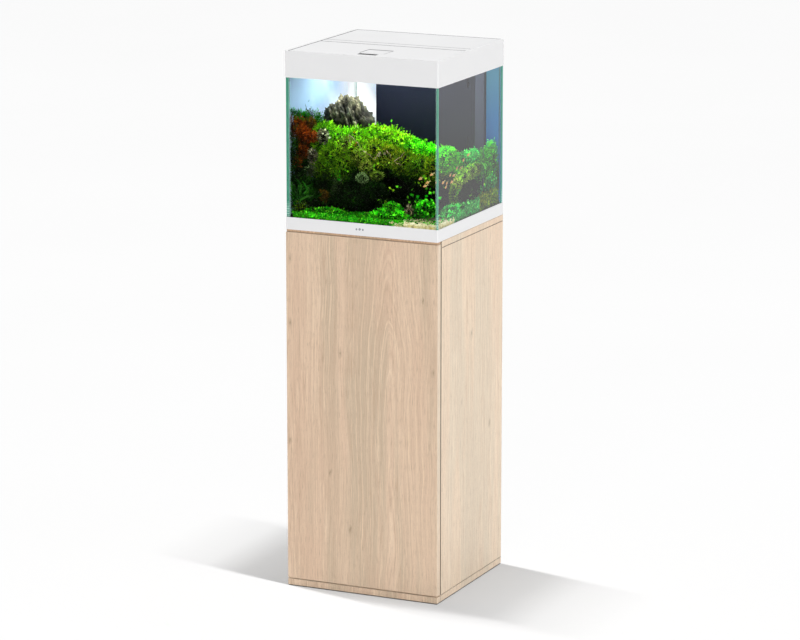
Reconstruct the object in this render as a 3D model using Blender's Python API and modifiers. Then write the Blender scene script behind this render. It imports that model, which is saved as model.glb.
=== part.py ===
"""Aquarium on a cabinet stand: a glass cube tank with a white hood, an internal corner filter and a planted
layout, standing on an oak-faced cupboard with one push-to-open door.  Metres, +Z up, front towards -Y."""
import math

import bmesh
import bpy
from mathutils import Matrix, Vector, noise

for old in list(bpy.data.objects):
    bpy.data.objects.remove(old, do_unlink=True)

# ---------------------------------------------------------------- driving dimensions
W, D, H = 0.412, 0.400, 1.360          # overall width, depth, height
HX, HY = W / 2, D / 2
GAP = 0.0003                           # working gap between touching pieces
STAND_H = 0.915                        # floor to the top of the cabinet
BOARD = 0.016                          # carcass board thickness
GLIDE = 0.002                          # furniture glide height
BASE_TOP = GLIDE + BOARD
DOOR_T = 0.018                         # door thickness
DOOR_GAP = 0.004                       # door back to carcass front
CARCASS_Y = -HY + DOOR_T + DOOR_GAP    # front plane of the carcass
DOOR_Z = (BASE_TOP + 0.002, STAND_H - 0.0065)
SIDE_Z = (BASE_TOP + GAP, STAND_H - BOARD - GAP)
INNER_X = HX - BOARD                   # inner face of the side panels
PIVOT = (-HX + 0.008, -HY + 0.0105)    # door hinge axis
CUP_X = -HX + 0.020                    # hinge cup centre line
HINGE_Z = (0.120, 0.800)               # lower and upper hinge
SHELF_Z = 0.455                        # underside of the shelf
FRAME_TOP = 0.946                      # top of the white bottom trim
HOOD_Z = (1.294, H)                    # white hood
GLASS = 0.005                          # pane thickness
GX, GY = HX - 0.0018, HY - 0.0018      # outer faces of the panes
GLASS_Z = (0.9249, 1.3400)
BAR_Y = (-0.0162, 0.0140)              # fixed centre bar of the hood
FLAP_AXIS = (-0.0180, 1.3585)          # y, z of the flap hinge
HATCH_AXIS = (-0.0960, 1.3584)         # y, z of the feed hatch hinge
FILTER_X = (-0.098, 0.165)             # internal filter
FILTER_Y = (0.095, 0.186)
FILTER_Z = (0.992, 1.322)
NOZZLE = (0.150, 1.287)                # y, z of the return nozzle

# ---------------------------------------------------------------- helpers
parts = bpy.data.collections.new("aquarium_on_stand")
cutters = bpy.data.collections.new("cutters")
for coll in (parts, cutters):
    bpy.context.scene.collection.children.link(coll)
MATS = {}


def material(name, colour, rough, metal=0.0):
    m = bpy.data.materials.new(name)
    m.use_nodes = True
    p = m.node_tree.nodes["Principled BSDF"]
    p.inputs["Base Color"].default_value = (*colour, 1.0)
    p.inputs["Roughness"].default_value = rough
    p.inputs["Metallic"].default_value = metal
    MATS[name] = m


material("oak", (0.66, 0.47, 0.33), 0.55)
material("hardboard", (0.62, 0.60, 0.56), 0.7)
material("hood_white", (0.84, 0.84, 0.85), 0.35)
material("glass", (0.80, 0.92, 0.88), 0.05)
material("silicone", (0.75, 0.78, 0.78), 0.4)
material("filter_navy", (0.03, 0.035, 0.06), 0.4)
material("guard_grey", (0.10, 0.11, 0.14), 0.4)
material("foam_blue", (0.08, 0.16, 0.35), 0.95)
material("carbon_black", (0.02, 0.02, 0.02), 0.9)
material("pump_black", (0.03, 0.03, 0.035), 0.45)
material("steel", (0.62, 0.62, 0.64), 0.3, 1.0)
material("grey_plastic", (0.35, 0.36, 0.38), 0.5)
material("rubber_black", (0.03, 0.03, 0.03), 0.8)
material("soil", (0.10, 0.07, 0.045), 0.95)
material("stone", (0.20, 0.20, 0.16), 0.9)
material("leaf_green", (0.06, 0.25, 0.03), 0.7)
material("leaf_red", (0.35, 0.09, 0.03), 0.7)
material("sky_film", (0.55, 0.76, 0.92), 0.5)
material("led_white", (0.9, 0.92, 0.95), 0.3)
material("foam_mat", (0.05, 0.05, 0.05), 0.95)


def put(name, bm, mat, smooth=False, cutter=False):
    """Turn a bmesh into a named object in the right collection."""
    bmesh.ops.recalc_face_normals(bm, faces=bm.faces)
    me = bpy.data.meshes.new(name)
    bm.to_mesh(me)
    bm.free()
    ob = bpy.data.objects.new(name, me)
    if cutter:
        cutters.objects.link(ob)
        ob.hide_render = True
        ob.display_type = "WIRE"
    else:
        parts.objects.link(ob)
        me.materials.append(MATS[mat])
        if smooth:
            me.shade_smooth()
            me.set_sharp_from_angle(angle=math.radians(35))
    return ob


def add_box(bm, x, y, z):
    size = Vector((x[1] - x[0], y[1] - y[0], z[1] - z[0]))
    mid = Vector(((x[0] + x[1]) / 2, (y[0] + y[1]) / 2, (z[0] + z[1]) / 2))
    bmesh.ops.create_cube(bm, size=1.0, matrix=Matrix.Translation(mid) @ Matrix.Diagonal((*size, 1.0)))


def add_cyl(bm, centre, axis, radius, length, seg=24, top=None):
    turn = {"X": Matrix.Rotation(math.pi / 2, 4, "Y"), "Y": Matrix.Rotation(-math.pi / 2, 4, "X"),
            "Z": Matrix.Identity(4)}[axis]
    bmesh.ops.create_cone(bm, cap_ends=True, segments=seg, radius1=radius, radius2=top or radius,
                          depth=length, matrix=Matrix.Translation(Vector(centre)) @ turn)


def bevel(ob, width, segments=1, angle=40):
    mod = ob.modifiers.new("soft_edges", "BEVEL")
    mod.width, mod.segments, mod.limit_method = width, segments, "ANGLE"
    mod.angle_limit = math.radians(angle)
    return ob


def box(name, mat, x, y, z, soft=0.0, segments=1):
    bm = bmesh.new()
    add_box(bm, x, y, z)
    ob = put(name, bm, mat)
    return bevel(ob, soft, segments) if soft else ob


def combine(target, fill, operation, at=(0, 0, 0)):
    """Boolean the shape drawn by fill(bm), placed at a point, into target."""
    bm = bmesh.new()
    fill(bm)
    tool = put(f"{target.name}_{operation.lower()}_{len(target.modifiers)}", bm, None, cutter=True)
    tool.location = at
    mod = target.modifiers.new(operation.lower(), "BOOLEAN")
    mod.operation, mod.solver, mod.object = operation, "EXACT", tool
    return target


def cut(target, *fills, at=(0, 0, 0)):
    for fill in fills:
        combine(target, fill, "DIFFERENCE", at)
    return target


def join(target, *fills, at=(0, 0, 0)):
    for fill in fills:
        combine(target, fill, "UNION", at)
    return target


def box_of(x, y, z):
    return lambda bm: add_box(bm, x, y, z)


def cyl_of(centre, axis, radius, length, seg=24):
    return lambda bm: add_cyl(bm, centre, axis, radius, length, seg)


def rounded(hx, hy, r, seg=5):
    """Corner points of a rounded rectangle, anticlockwise."""
    pts = []
    for cx, cy, start in ((hx - r, hy - r, 0), (r - hx, hy - r, 90), (r - hx, r - hy, 180), (hx - r, r - hy, 270)):
        for i in range(seg + 1):
            a = math.radians(start + 90 * i / seg)
            pts.append((cx + r * math.cos(a), cy + r * math.sin(a)))
    return pts


def prism(name, mat, outline, z, smooth=False):
    """A flat outline as a filled 2D curve, extruded between two heights and made a mesh."""
    curve = bpy.data.curves.new(name + "_outline", "CURVE")
    curve.dimensions, curve.fill_mode, curve.extrude = "2D", "BOTH", (z[1] - z[0]) / 2
    line = curve.splines.new("POLY")
    line.points.add(len(outline) - 1)
    for point, (x, y) in zip(line.points, outline):
        point.co = (x, y, 0, 1)
    line.use_cyclic_u = True
    guide = bpy.data.objects.new(name + "_outline", curve)
    cutters.objects.link(guide)
    guide.location.z = (z[0] + z[1]) / 2
    bpy.context.view_layer.update()
    me = bpy.data.meshes.new_from_object(guide.evaluated_get(bpy.context.evaluated_depsgraph_get()))
    bm = bmesh.new()
    bm.from_mesh(me)
    bmesh.ops.remove_doubles(bm, verts=bm.verts, dist=0.00002)
    ob = put(name, bm, mat, smooth)
    ob.matrix_world = guide.matrix_world
    bpy.data.objects.remove(guide)
    return ob


def lathe(name, mat, profile, centre, axis="Z", seg=28, closed=False):
    """Turn a (radius, height) profile, run from top to bottom, with a Screw modifier."""
    if profile[0][1] < profile[-1][1] or closed:
        profile = profile[::-1]
    me = bpy.data.meshes.new(name)
    edges = [(i, i + 1) for i in range(len(profile) - 1)] + ([(len(profile) - 1, 0)] if closed else [])
    me.from_pydata([(r, 0, h) for r, h in profile], edges, [])
    ob = bpy.data.objects.new(name, me)
    parts.objects.link(ob)
    me.materials.append(MATS[mat])
    screw = ob.modifiers.new("turn", "SCREW")
    screw.angle, screw.axis, screw.steps, screw.render_steps = 2 * math.pi, "Z", seg, seg
    screw.use_merge_vertices, screw.merge_threshold, screw.use_smooth_shade = True, 0.00005, True
    ob.rotation_euler = {"X": (0, math.pi / 2, 0), "Y": (-math.pi / 2, 0, 0), "Z": (0, 0, 0)}[axis]
    ob.location = centre
    return ob


def thick_line(points, half):
    """Outline of a mitred strip that follows a centre line."""
    left, right = [], []
    for i, p in enumerate(points):
        p = Vector(p)
        before = (p - Vector(points[i - 1])).normalized() if i else None
        after = (Vector(points[i + 1]) - p).normalized() if i < len(points) - 1 else None
        d = ((before or after) + (after or before)).normalized()
        n = Vector((-d.y, d.x))
        k = half / max(0.35, n.dot(Vector((-(after or before).y, (after or before).x))))
        left.append(tuple(p + n * k))
        right.append(tuple(p - n * k))
    return left + right[::-1]


def field(name, mat, x, y, nx, ny, floor, top):
    """A grid laid on one height field and extruded up to another."""
    bm = bmesh.new()
    mid = ((x[0] + x[1]) / 2, (y[0] + y[1]) / 2)
    bmesh.ops.create_grid(bm, x_segments=nx, y_segments=ny, size=0.5, matrix=Matrix.Translation((*mid, 0))
                          @ Matrix.Diagonal((x[1] - x[0], y[1] - y[0], 1, 1)))
    sheet = list(bm.faces)
    grown = bmesh.ops.extrude_face_region(bm, geom=sheet, use_keep_orig=True)
    upper = {v for v in grown["geom"] if isinstance(v, bmesh.types.BMVert)}
    for v in bm.verts:
        low = floor(v.co.x, v.co.y)
        v.co.z = max(top(v.co.x, v.co.y), low + 0.003) if v in upper else low
    return put(name, bm, mat, smooth=True)


def ramp(v, a, b):
    t = min(1.0, max(0.0, (v - a) / (b - a)))
    return t * t * (3 - 2 * t)


# ---------------------------------------------------------------- cabinet
box("base_panel", "oak", (-HX, HX), (-HY, HY), (GLIDE, BASE_TOP), 0.0006)
box("top_panel", "oak", (-HX, HX), (CARCASS_Y, HY), (STAND_H - BOARD, STAND_H), 0.0006)
SHELF_PINS = [(sx, py) for sx in (-1, 1) for py in (-0.120, 0.130)]
for side, sx in (("left", -1), ("right", 1)):
    xs = sorted((sx * INNER_X, sx * HX))
    panel = box(f"side_panel_{side}", "oak", xs, (CARCASS_Y, HY), SIDE_Z, 0.0006)

    def peg_holes(bm, sx=sx):
        for py in (-0.120, 0.130):
            for k in range(-2, 3):
                add_cyl(bm, (sx * (INNER_X + 0.004), py, SHELF_Z - 0.0026 + 0.032 * k), "X", 0.0026, 0.0100, 12)
    cut(panel, peg_holes)
back = box("back_panel", "hardboard", (-INNER_X + GAP, INNER_X - GAP), (0.188, 0.191), SIDE_Z)
cut(back, box_of((-0.045, 0.045), (0.18, 0.20), (0.760, 0.830)))
box("shelf", "oak", (-INNER_X + 0.0025, INNER_X - 0.0025), (-0.160, 0.1865), (SHELF_Z, SHELF_Z + BOARD), 0.0006)
for n, (sx, py) in enumerate(SHELF_PINS, 1):
    prof = [(0, -0.0070), (0.0023, -0.0070), (0.0023, 0), (0.0036, 0), (0.0036, 0.0012), (0.0023, 0.0012),
            (0.0023, 0.0075), (0, 0.0080)]
    pin = lathe(f"shelf_pin_{n}", "steel", [(r, -sx * h) for r, h in prof],
                (sx * (INNER_X - GAP), py, SHELF_Z - 0.0026), "X", 12)
for n, (gx, gy) in enumerate(((-1, -1), (1, -1), (-1, 1), (1, 1)), 1):
    bm = bmesh.new()
    add_cyl(bm, (gx * (HX - 0.030), gy * (HY - 0.030), (GLIDE - GAP) / 2), "Z", 0.012, GLIDE - GAP, 20)
    put(f"glide_{n}", bm, "rubber_black")

door = box("door", "oak", (-HX, HX), (-HY, -HY + DOOR_T), DOOR_Z, 0.0007)
for level, hz in zip(("lower", "upper"), HINGE_Z):
    face = -HY + DOOR_T
    cut(door, cyl_of((CUP_X, face - 0.0059 + 0.002, hz), "Y", 0.0178, 0.0158, 32))
    cup = lathe(f"hinge_cup_{level}", "steel",
                [(0, -0.0115), (0.0172, -0.0115), (0.0175, -0.0112), (0.0175, 0.0), (0.0167, 0.0),
                 (0.0167, -0.0105), (0, -0.0105)], (CUP_X, face, hz), "Y", 28)
    join(cup, cyl_of((*PIVOT, hz), "Z", 0.0010, 0.0232, 12))
    px, py = PIVOT
    mm = 0.001
    neck = thick_line([(px + 0.8 * mm, py), (px + 17 * mm, py - 1.4 * mm), (px + 19.5 * mm, py + 1.5 * mm),
                       (px + 19.5 * mm, py + 16 * mm), (px + 13.6 * mm, py + 24 * mm),
                       (px + 13.6 * mm, py + 58 * mm)], 0.0010)
    arm = prism(f"hinge_arm_{level}", "steel", neck, (hz - 0.006, hz + 0.006))
    join(arm, cyl_of((px, py, hz), "Z", 0.0022, 0.012, 20))
    cut(arm, cyl_of((px, py, hz), "Z", 0.0013, 0.020, 16))
    box(f"hinge_plate_{level}", "steel", (-INNER_X + GAP, px + 0.0123), (py + 0.0215, py + 0.064),
        (hz - 0.015, hz + 0.015), 0.0004)

LATCH_X, LATCH_Z = 0.150, 0.886
latch = box("latch_body", "grey_plastic", (LATCH_X - 0.016, LATCH_X + 0.016), (CARCASS_Y + 0.004, -0.110),
            (LATCH_Z - 0.0115, STAND_H - BOARD - GAP), 0.0008)
cut(latch, cyl_of((LATCH_X, CARCASS_Y + 0.010, LATCH_Z), "Y", 0.0046, 0.030, 20))
bm = bmesh.new()
add_cyl(bm, (LATCH_X, CARCASS_Y + 0.0080, LATCH_Z), "Y", 0.0042, 0.0200, 20)
put("latch_plunger", bm, "grey_plastic")
box("latch_strike", "steel", (LATCH_X - 0.010, LATCH_X + 0.010), (-HY + DOOR_T + GAP, -HY + DOOR_T + 0.0013),
    (LATCH_Z - 0.009, LATCH_Z + 0.009))

# ---------------------------------------------------------------- tank
frame_z = (STAND_H + GAP, FRAME_TOP)
frame = prism("base_frame", "hood_white", rounded(HX, HY, 0.003), frame_z)
cut(frame, box_of((-GX - GAP, GX + GAP), (-GY - GAP, GY + GAP), (0.9183, 1.0)),
    box_of((-0.180, 0.180), (-0.174, 0.174), (0.90, 0.93)))
box("support_mat", "foam_mat", (-0.1795, 0.1795), (-0.1735, 0.1735), (STAND_H + GAP, 0.9183))
box("glass_bottom", "glass", (-GX, GX), (-GY, GY), (0.9186, 0.9246))
box("glass_front", "glass", (-GX, GX), (-GY, -GY + GLASS), GLASS_Z, 0.0003)
box("glass_back", "glass", (-GX, GX), (GY - GLASS, GY), GLASS_Z, 0.0003)
IX, IY = GX - GLASS, GY - GLASS        # inner faces of the panes
for side, sx in (("left", -1), ("right", 1)):
    box(f"glass_{side}", "glass", sorted((sx * IX, sx * GX)), (-IY + GAP, IY - GAP), GLASS_Z, 0.0003)
beads = box("silicone_beads", "silicone", (-IX + GAP, IX - GAP), (-IY + GAP, IY - GAP),
            (GLASS_Z[0], GLASS_Z[0] + 0.0035))
cut(beads, box_of((-IX + 0.0035, IX - 0.0035), (-IY + 0.0035, IY - 0.0035), (0.9, 1.0)))


def corners(size, z):
    """Square posts in the four inner corners of the tank."""
    def fill(bm):
        for sx in (-1, 1):
            for sy in (-1, 1):
                xs = sorted((sx * (IX - GAP + (size > 0.0026) * 0.01), sx * (IX - size)))
                ys = sorted((sy * (IY - GAP + (size > 0.0026) * 0.01), sy * (IY - size)))
                add_box(bm, xs, ys, z)
    return fill


join(beads, corners(0.0026, (GLASS_Z[0] + 0.001, GLASS_Z[1] - 0.020)))
film_t = 0.0004
film = prism("backdrop_film", "sky_film",
             [(-GX - GAP, -GY + 0.004), (-GX - GAP, GY + GAP), (GX, GY + GAP), (GX, GY + GAP + film_t),
              (-GX - GAP - film_t, GY + GAP + film_t), (-GX - GAP - film_t, -GY + 0.004)],
             (FRAME_TOP + GAP, HOOD_Z[0] - GAP))

# ---------------------------------------------------------------- hood
REC_X, REC_Y, LEDGE_Z = 0.1972, 0.1980, 1.3557
hood = prism("hood_frame", "hood_white", rounded(HX, HY, 0.003), HOOD_Z)
bevel(hood, 0.0012, 2)
cut(hood, box_of((-0.1925, 0.1925), (-0.193, 0.193), (1.2, 1.4)),
    box_of((-REC_X, REC_X), (-REC_Y, REC_Y), (LEDGE_Z, 1.4)),
    box_of((-GX - GAP, GX + GAP), (-GY - GAP, GY + GAP), (1.2, GLASS_Z[1] + GAP)),
    cyl_of((0, *FLAP_AXIS), "X", 0.00095, 2 * 0.2010, 12),
    box_of((0.120, 0.150), (0.190, 0.210), (1.3420, 1.3530)))
SKIN = (1.3560, H - 0.0002)            # flap and cover plates
PLATE_X = REC_X - 0.0007
flap = box("front_flap", "hood_white", (-PLATE_X, PLATE_X), (-REC_Y + 0.0005, FLAP_AXIS[0] - 0.0010), SKIN,
           0.0005)
KNUCKLES = (-0.160, 0.160)


def knuckle_lugs(bm):
    for kx in KNUCKLES:
        add_box(bm, (kx - 0.006, kx + 0.006), (FLAP_AXIS[0] - 0.0020, FLAP_AXIS[0]),
                (FLAP_AXIS[1] - 0.0013, FLAP_AXIS[1] - 0.0003))


def knuckles(bm):
    for kx in KNUCKLES:
        add_cyl(bm, (kx, *FLAP_AXIS), "X", 0.0014, 0.0118, 16)


HATCH_X, HATCH_Y = (-0.026, 0.039), (-0.150, -0.0952)
join(flap, knuckle_lugs, knuckles)
cut(flap, cyl_of((0, *FLAP_AXIS), "X", 0.0010, 0.45, 16),
    box_of((HATCH_X[0] - 0.0007, HATCH_X[1] + 0.0007), (HATCH_Y[0] - 0.0007, HATCH_AXIS[0] + 0.0018), (1.3569, 1.4)),
    box_of((HATCH_X[0] - 0.0007, HATCH_X[1] + 0.0007), (HATCH_Y[0] + 0.0020, HATCH_AXIS[0] + 0.0018), (1.3, 1.3575)),
    cyl_of(((HATCH_X[0] + HATCH_X[1]) / 2, *HATCH_AXIS), "X", 0.00105, HATCH_X[1] - HATCH_X[0] + 0.0070, 12),
    box_of((-0.021, 0.030), (-0.178, -0.162), (1.3, 1.4)))
bm = bmesh.new()
add_cyl(bm, (0, *FLAP_AXIS), "X", 0.0007, 0.4010, 12)
put("flap_rod", bm, "steel", smooth=True)
hatch = box("feed_hatch", "hood_white", HATCH_X, HATCH_Y, (1.3572, 1.3596), 0.0004)
join(hatch, cyl_of(((HATCH_X[0] + HATCH_X[1]) / 2, *HATCH_AXIS), "X", 0.0008,
                   HATCH_X[1] - HATCH_X[0] + 0.0050, 12))
bar = box("centre_bar", "hood_white", (-PLATE_X, PLATE_X), BAR_Y, SKIN)
join(bar, box_of((-0.1920, 0.1920), (BAR_Y[0] + 0.0012, BAR_Y[1] - 0.0012), (1.3480, 1.3570)))
box("rear_cover", "hood_white", (-PLATE_X, PLATE_X), (BAR_Y[1] + 0.0015, REC_Y - 0.0005), SKIN, 0.0005)
led = box("led_housing", "hood_white", (-0.185, 0.185), (-0.0140, 0.0118), (1.3330, 1.3477), 0.001)
cut(led, box_of((-0.178, 0.178), (-0.0110, 0.0088), (1.32, 1.3362)))
box("led_lens", "led_white", (-0.1777, 0.1777), (-0.0107, 0.0085), (1.3328, 1.3359), 0.0004)

# ---------------------------------------------------------------- internal filter
WALL = 0.0022
FX, FY, FZ = FILTER_X, FILTER_Y, FILTER_Z
body = box("filter_housing", "filter_navy", FX, FY, FZ, 0.0008)
DIVIDERS = (-0.040, 0.018)             # partitions between the chambers
rooms = [(FX[0] + WALL, DIVIDERS[0] - 0.001), (DIVIDERS[0] + 0.001, DIVIDERS[1] - 0.001),
         (DIVIDERS[1] + 0.001, FX[1] - WALL)]
cut(body, *[box_of(room, (FY[0] + WALL, FY[1] - WALL), (FZ[0] + WALL, 1.4)) for room in rooms])


def intake_slots(bm):
    for z0, z1 in ((1.091, 1.126), (1.250, 1.275)):
        add_box(bm, (0.1525, 0.1565), (FY[0] - 0.01, FY[0] + 0.01), (z0, z1))
    for k in range(5):
        add_box(bm, (-0.088, -0.050), (FY[0] - 0.01, FY[0] + 0.01), (1.010 + 0.008 * k, 1.013 + 0.008 * k))


join(body, box_of((FX[1] - 0.003, 0.1727), (FY[0] + 0.0002, FY[0] + 0.0040), (FZ[0] + 0.001, FZ[1] - 0.001)))
cut(body, intake_slots, cyl_of((FX[0], *NOZZLE), "X", 0.0083, 0.020, 24))
guard = box("filter_guard", "guard_grey", (0.1731, 0.1970), (FY[0] + 0.0004, FY[0] + 0.0034),
            (FZ[0], FZ[1] - 0.002), 0.0006)
box("filter_lid", "filter_navy", FX, FY, (FZ[1] + GAP, FZ[1] + 0.0033), 0.0008)
media_y = (FY[0] + WALL + 0.0012, FY[1] - WALL - 0.0012)
box("foam_coarse", "foam_blue", (rooms[0][0] + 0.0012, rooms[0][1] - 0.0012), media_y, (FZ[0] + 0.0030, 1.255),
    0.003, 2)
box("carbon_cartridge", "carbon_black", (rooms[1][0] + 0.0012, rooms[1][1] - 0.0012), media_y,
    (FZ[0] + 0.0030, 1.215), 0.002)
PUMP = (0.065, 0.140)
pump = box("pump_body", "pump_black", (PUMP[0] - 0.026, PUMP[0] + 0.026), (PUMP[1] - 0.024, PUMP[1] + 0.024),
           (FZ[0] + WALL + GAP, 1.052), 0.003, 2)
cut(pump, cyl_of((*PUMP, 1.052), "Z", 0.0165, 0.036, 28))
blades = lathe("pump_impeller", "grey_plastic",
               [(0, -0.006), (0.0135, -0.006), (0.0135, -0.004), (0.0040, -0.003), (0.0035, 0.009), (0, 0.009)],
               (*PUMP, 1.0405), "Z", 20)


def vane(turn):
    def fill(bm):
        add_box(bm, (-0.0132, 0.0132), (-0.0007, 0.0007), (-0.0050, 0.0060))
        bmesh.ops.rotate(bm, verts=bm.verts, cent=(0, 0, 0), matrix=Matrix.Rotation(math.radians(turn), 3, "Z"))
    return fill


join(blades, vane(0), vane(60), vane(120), at=(*PUMP, 1.0405))
heater = lathe("heater_body", "pump_black",
               [(0, 0), (0.0085, 0.001), (0.0105, 0.006), (0.0105, 0.185), (0.0140, 0.190), (0.0140, 0.232),
                (0, 0.232)], (0.140, 0.140, 1.010), "Z", 24)
lathe("heater_dial", "grey_plastic", [(0, 0), (0.0110, 0), (0.0100, 0.009), (0, 0.009)], (0.140, 0.140, 1.2424),
      "Z", 20)
nozzle = lathe("outlet_nozzle", "pump_black",
               [(0.0050, 0.012), (0.0079, 0.012), (0.0079, -0.0060), (0.0105, -0.0060), (0.0105, -0.0100),
                (0.0079, -0.0100), (0.0079, -0.0300), (0.0050, -0.0300)], (FX[0] + 0.0040, *NOZZLE), "X", 24, True)
spout_at = (FX[0] + 0.0040, *NOZZLE)
join(nozzle, box_of((-0.0300, -0.0180), (-0.0240, -0.0060), (-0.0050, 0.0050)), at=spout_at)
cut(nozzle, box_of((-0.0280, -0.0200), (-0.0300, 0.0020), (-0.0030, 0.0030)), at=spout_at)
lathe("suction_cup", "rubber_black",
      [(0, 0.0002), (0.0050, 0.0002), (0.0050, 0.0022), (0.0140, 0.0064), (0.0140, 0.0069), (0, 0.0069)],
      (0.030, FY[1] + GAP - 0.0002, 1.200), "Y", 24)

# ---------------------------------------------------------------- layout
def ground(x, y):
    return 0.9515 + 0.034 * ramp(y, -0.19, 0.16) + 0.004 * math.sin(17 * x + 1.3) * ramp(y, -0.19, -0.05)


def above(x, y):
    return ground(x, y) + 0.0012


def rough(x, y, scale, seed):
    return noise.noise(Vector((x * scale, y * scale, seed)))


def dome(x, y, xr, yr, power=0.5):
    """1 in the middle of a footprint, 0 on its border."""
    u = 1 - abs(2 * (x - xr[0]) / (xr[1] - xr[0]) - 1)
    v = 1 - abs(2 * (y - yr[0]) / (yr[1] - yr[0]) - 1)
    return (min(1, max(0, u) * 3) * min(1, max(0, v) * 3)) ** power


def skyline(x):
    """Height of the planting from the left pane to the right pane."""
    return 1.185 - 0.040 * ramp(x, -0.16, -0.10) + 0.012 * ramp(x, -0.09, -0.04) - 0.066 * ramp(x, -0.04, 0.19)


box_soil = (-IX + 0.0005, IX - 0.0005)
soil = field("substrate", "soil", box_soil, (-IY + 0.0005, IY - 0.0005), 14, 14,
             lambda x, y: GLASS_Z[0] + 0.0040, ground)
cut(soil, corners(0.0030, (0.92, 1.1)))
field("carpet_front", "leaf_green", (-0.196, 0.196), (-0.190, -0.152), 20, 4, above,
      lambda x, y: above(x, y) + 0.010 + 0.006 * rough(x, y, 40, 1))
PLANTS = {
    "plants_left": ((-0.196, -0.137), (-0.150, -0.046), "leaf_red"),
    "plants_centre": ((-0.136, 0.000), (-0.150, -0.046), "leaf_green"),
    "plants_mid": ((-0.056, 0.000), (-0.044, 0.090), "leaf_green"),
    "plants_right": ((0.002, 0.196), (-0.150, 0.090), "leaf_green"),
    "plants_corner": ((0.168, 0.195), (0.101, 0.190), "leaf_green"),
}
for name, (xr, yr, mat) in PLANTS.items():
    def crown(x, y, xr=xr, yr=yr):
        full = skyline(x) - 0.035 * (1 - ramp(y, -0.15, -0.06)) + 0.012 * rough(x, y, 30, 3)
        return above(x, y) + (full - above(x, y)) * (0.35 + 0.65 * dome(x, y, xr, yr))
    nx = max(4, round((xr[1] - xr[0]) / 0.016))
    ny = max(4, round((yr[1] - yr[0]) / 0.016))
    field(name, mat, xr, yr, nx, ny, above, crown)


def crag(x, y):
    """A steep-sided stone: high at the left, falling away to the right."""
    ridge = 1.216 - 0.25 * max(0, -0.152 - x) - 0.95 * max(0, x + 0.108)
    return ridge + 0.014 * rough(x, y, 60, 5) - 0.10 * ramp(abs(y - 0.002), 0.010, 0.050)


field("rock", "stone", (-0.188, -0.0585), (-0.043, 0.048), 15, 11, above, crag)
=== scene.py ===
"""Looks for the aquarium on its cabinet stand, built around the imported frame.  Metres, +Z up, front at -Y."""
import math

import bmesh
import bpy
import numpy as np
from mathutils import Matrix, Vector, noise


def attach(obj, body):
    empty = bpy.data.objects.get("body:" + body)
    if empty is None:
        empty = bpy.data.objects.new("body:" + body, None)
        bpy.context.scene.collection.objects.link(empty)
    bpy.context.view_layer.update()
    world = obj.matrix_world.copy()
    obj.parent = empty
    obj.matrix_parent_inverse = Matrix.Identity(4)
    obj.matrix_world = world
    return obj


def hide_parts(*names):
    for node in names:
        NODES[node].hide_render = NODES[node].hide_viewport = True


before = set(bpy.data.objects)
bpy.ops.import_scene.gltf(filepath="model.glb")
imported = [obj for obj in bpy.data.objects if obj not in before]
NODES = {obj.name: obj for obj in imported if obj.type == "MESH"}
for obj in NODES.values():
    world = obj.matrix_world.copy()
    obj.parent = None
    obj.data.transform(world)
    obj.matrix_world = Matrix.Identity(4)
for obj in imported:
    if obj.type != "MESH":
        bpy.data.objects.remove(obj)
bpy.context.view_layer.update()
ROOT = "cabinet_and_tank"
rng = np.random.default_rng(20)
noise.seed_set(1)   # without a seed noise_vector starts from the clock, and the stone changes from run to run
scene = bpy.context.scene


# ---- camera, floor and light
def look_at(ob, target):
    ob.rotation_euler = (Vector(target) - ob.location).to_track_quat("-Z", "Y").to_euler()


CAM_YAW, CAM_PITCH = math.radians(-24.785), math.radians(-12.673)
cam_data = bpy.data.cameras.new("camera")
cam_data.lens, cam_data.sensor_width = 169.5, 36.0
cam_data.clip_end = 200
cam = bpy.data.objects.new("camera", cam_data)
scene.collection.objects.link(cam)
cam.location = (3.8768, -8.3690, 2.7373)
ahead = Vector((math.sin(CAM_YAW) * math.cos(CAM_PITCH), math.cos(CAM_YAW) * math.cos(CAM_PITCH),
                math.sin(CAM_PITCH)))
look_at(cam, cam.location + ahead)
scene.camera = cam
scene.view_settings.view_transform = "Standard"

world = bpy.data.worlds.new("studio")
scene.world = world
world.use_nodes = True
sky = world.node_tree.nodes["Background"].inputs
sky["Color"].default_value, sky["Strength"].default_value = (1, 1, 1, 1), 0.30


def area(name, place, target, size, level):
    """A soft box whose level is the share of full white it gives a card facing it at the target."""
    data = bpy.data.lights.new(name, "AREA")
    away = (Vector(place) - Vector(target)).length
    data.shape, data.size, data.size_y = "RECTANGLE", size[0], size[1]
    data.energy = level * 4 * math.pi * away ** 2
    ob = bpy.data.objects.new(name, data)
    scene.collection.objects.link(ob)
    ob.location = place
    look_at(ob, target)
    return ob


STRIP_TURN = math.radians(-14)
# Long high strips, turned a little from the x axis, give the two shadows that lie to the left and to the right of the
# cabinet. Three of them light only the floor, which keeps it white around those shadows.
floor_only = bpy.data.collections.new("floor_only")
for name, place, length, level in (("high_strip", 0, 84, 0.75), ("floor_strip_wide", 0, 84, 1.21),
                                   ("floor_strip_left", -19, 11, 0.53), ("floor_strip_right", 19, 11, 0.74)):
    spot = (place * math.cos(STRIP_TURN), place * math.sin(STRIP_TURN))
    strip = area(name, (*spot, 120), (*spot, 0), (length, 1.8), level)
    strip.rotation_euler = (0, 0, STRIP_TURN)
    if name.startswith("floor"):
        strip.light_linking.receiver_collection = floor_only
area("front_box", (1.5, -8.0, 1.1), (0, 0, 0.8), (2.4, 1.6), 0.19)
area("side_box", (8.0, -0.6, 1.1), (0, 0, 0.8), (2.4, 1.6), 0.165)
lamp = area("tank_light", (0, -0.001, 1.3318), (0, -0.001, 0), (0.34, 0.016), 0.0)
lamp.data.energy, lamp.data.color = 1.5, (1.0, 1.0, 0.94)


# ---- material helpers
def srgb(r, g, b):
    return tuple(((c / 255) / 12.92 if c <= 10 else ((c / 255 + 0.055) / 1.055) ** 2.4) for c in (r, g, b))


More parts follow.
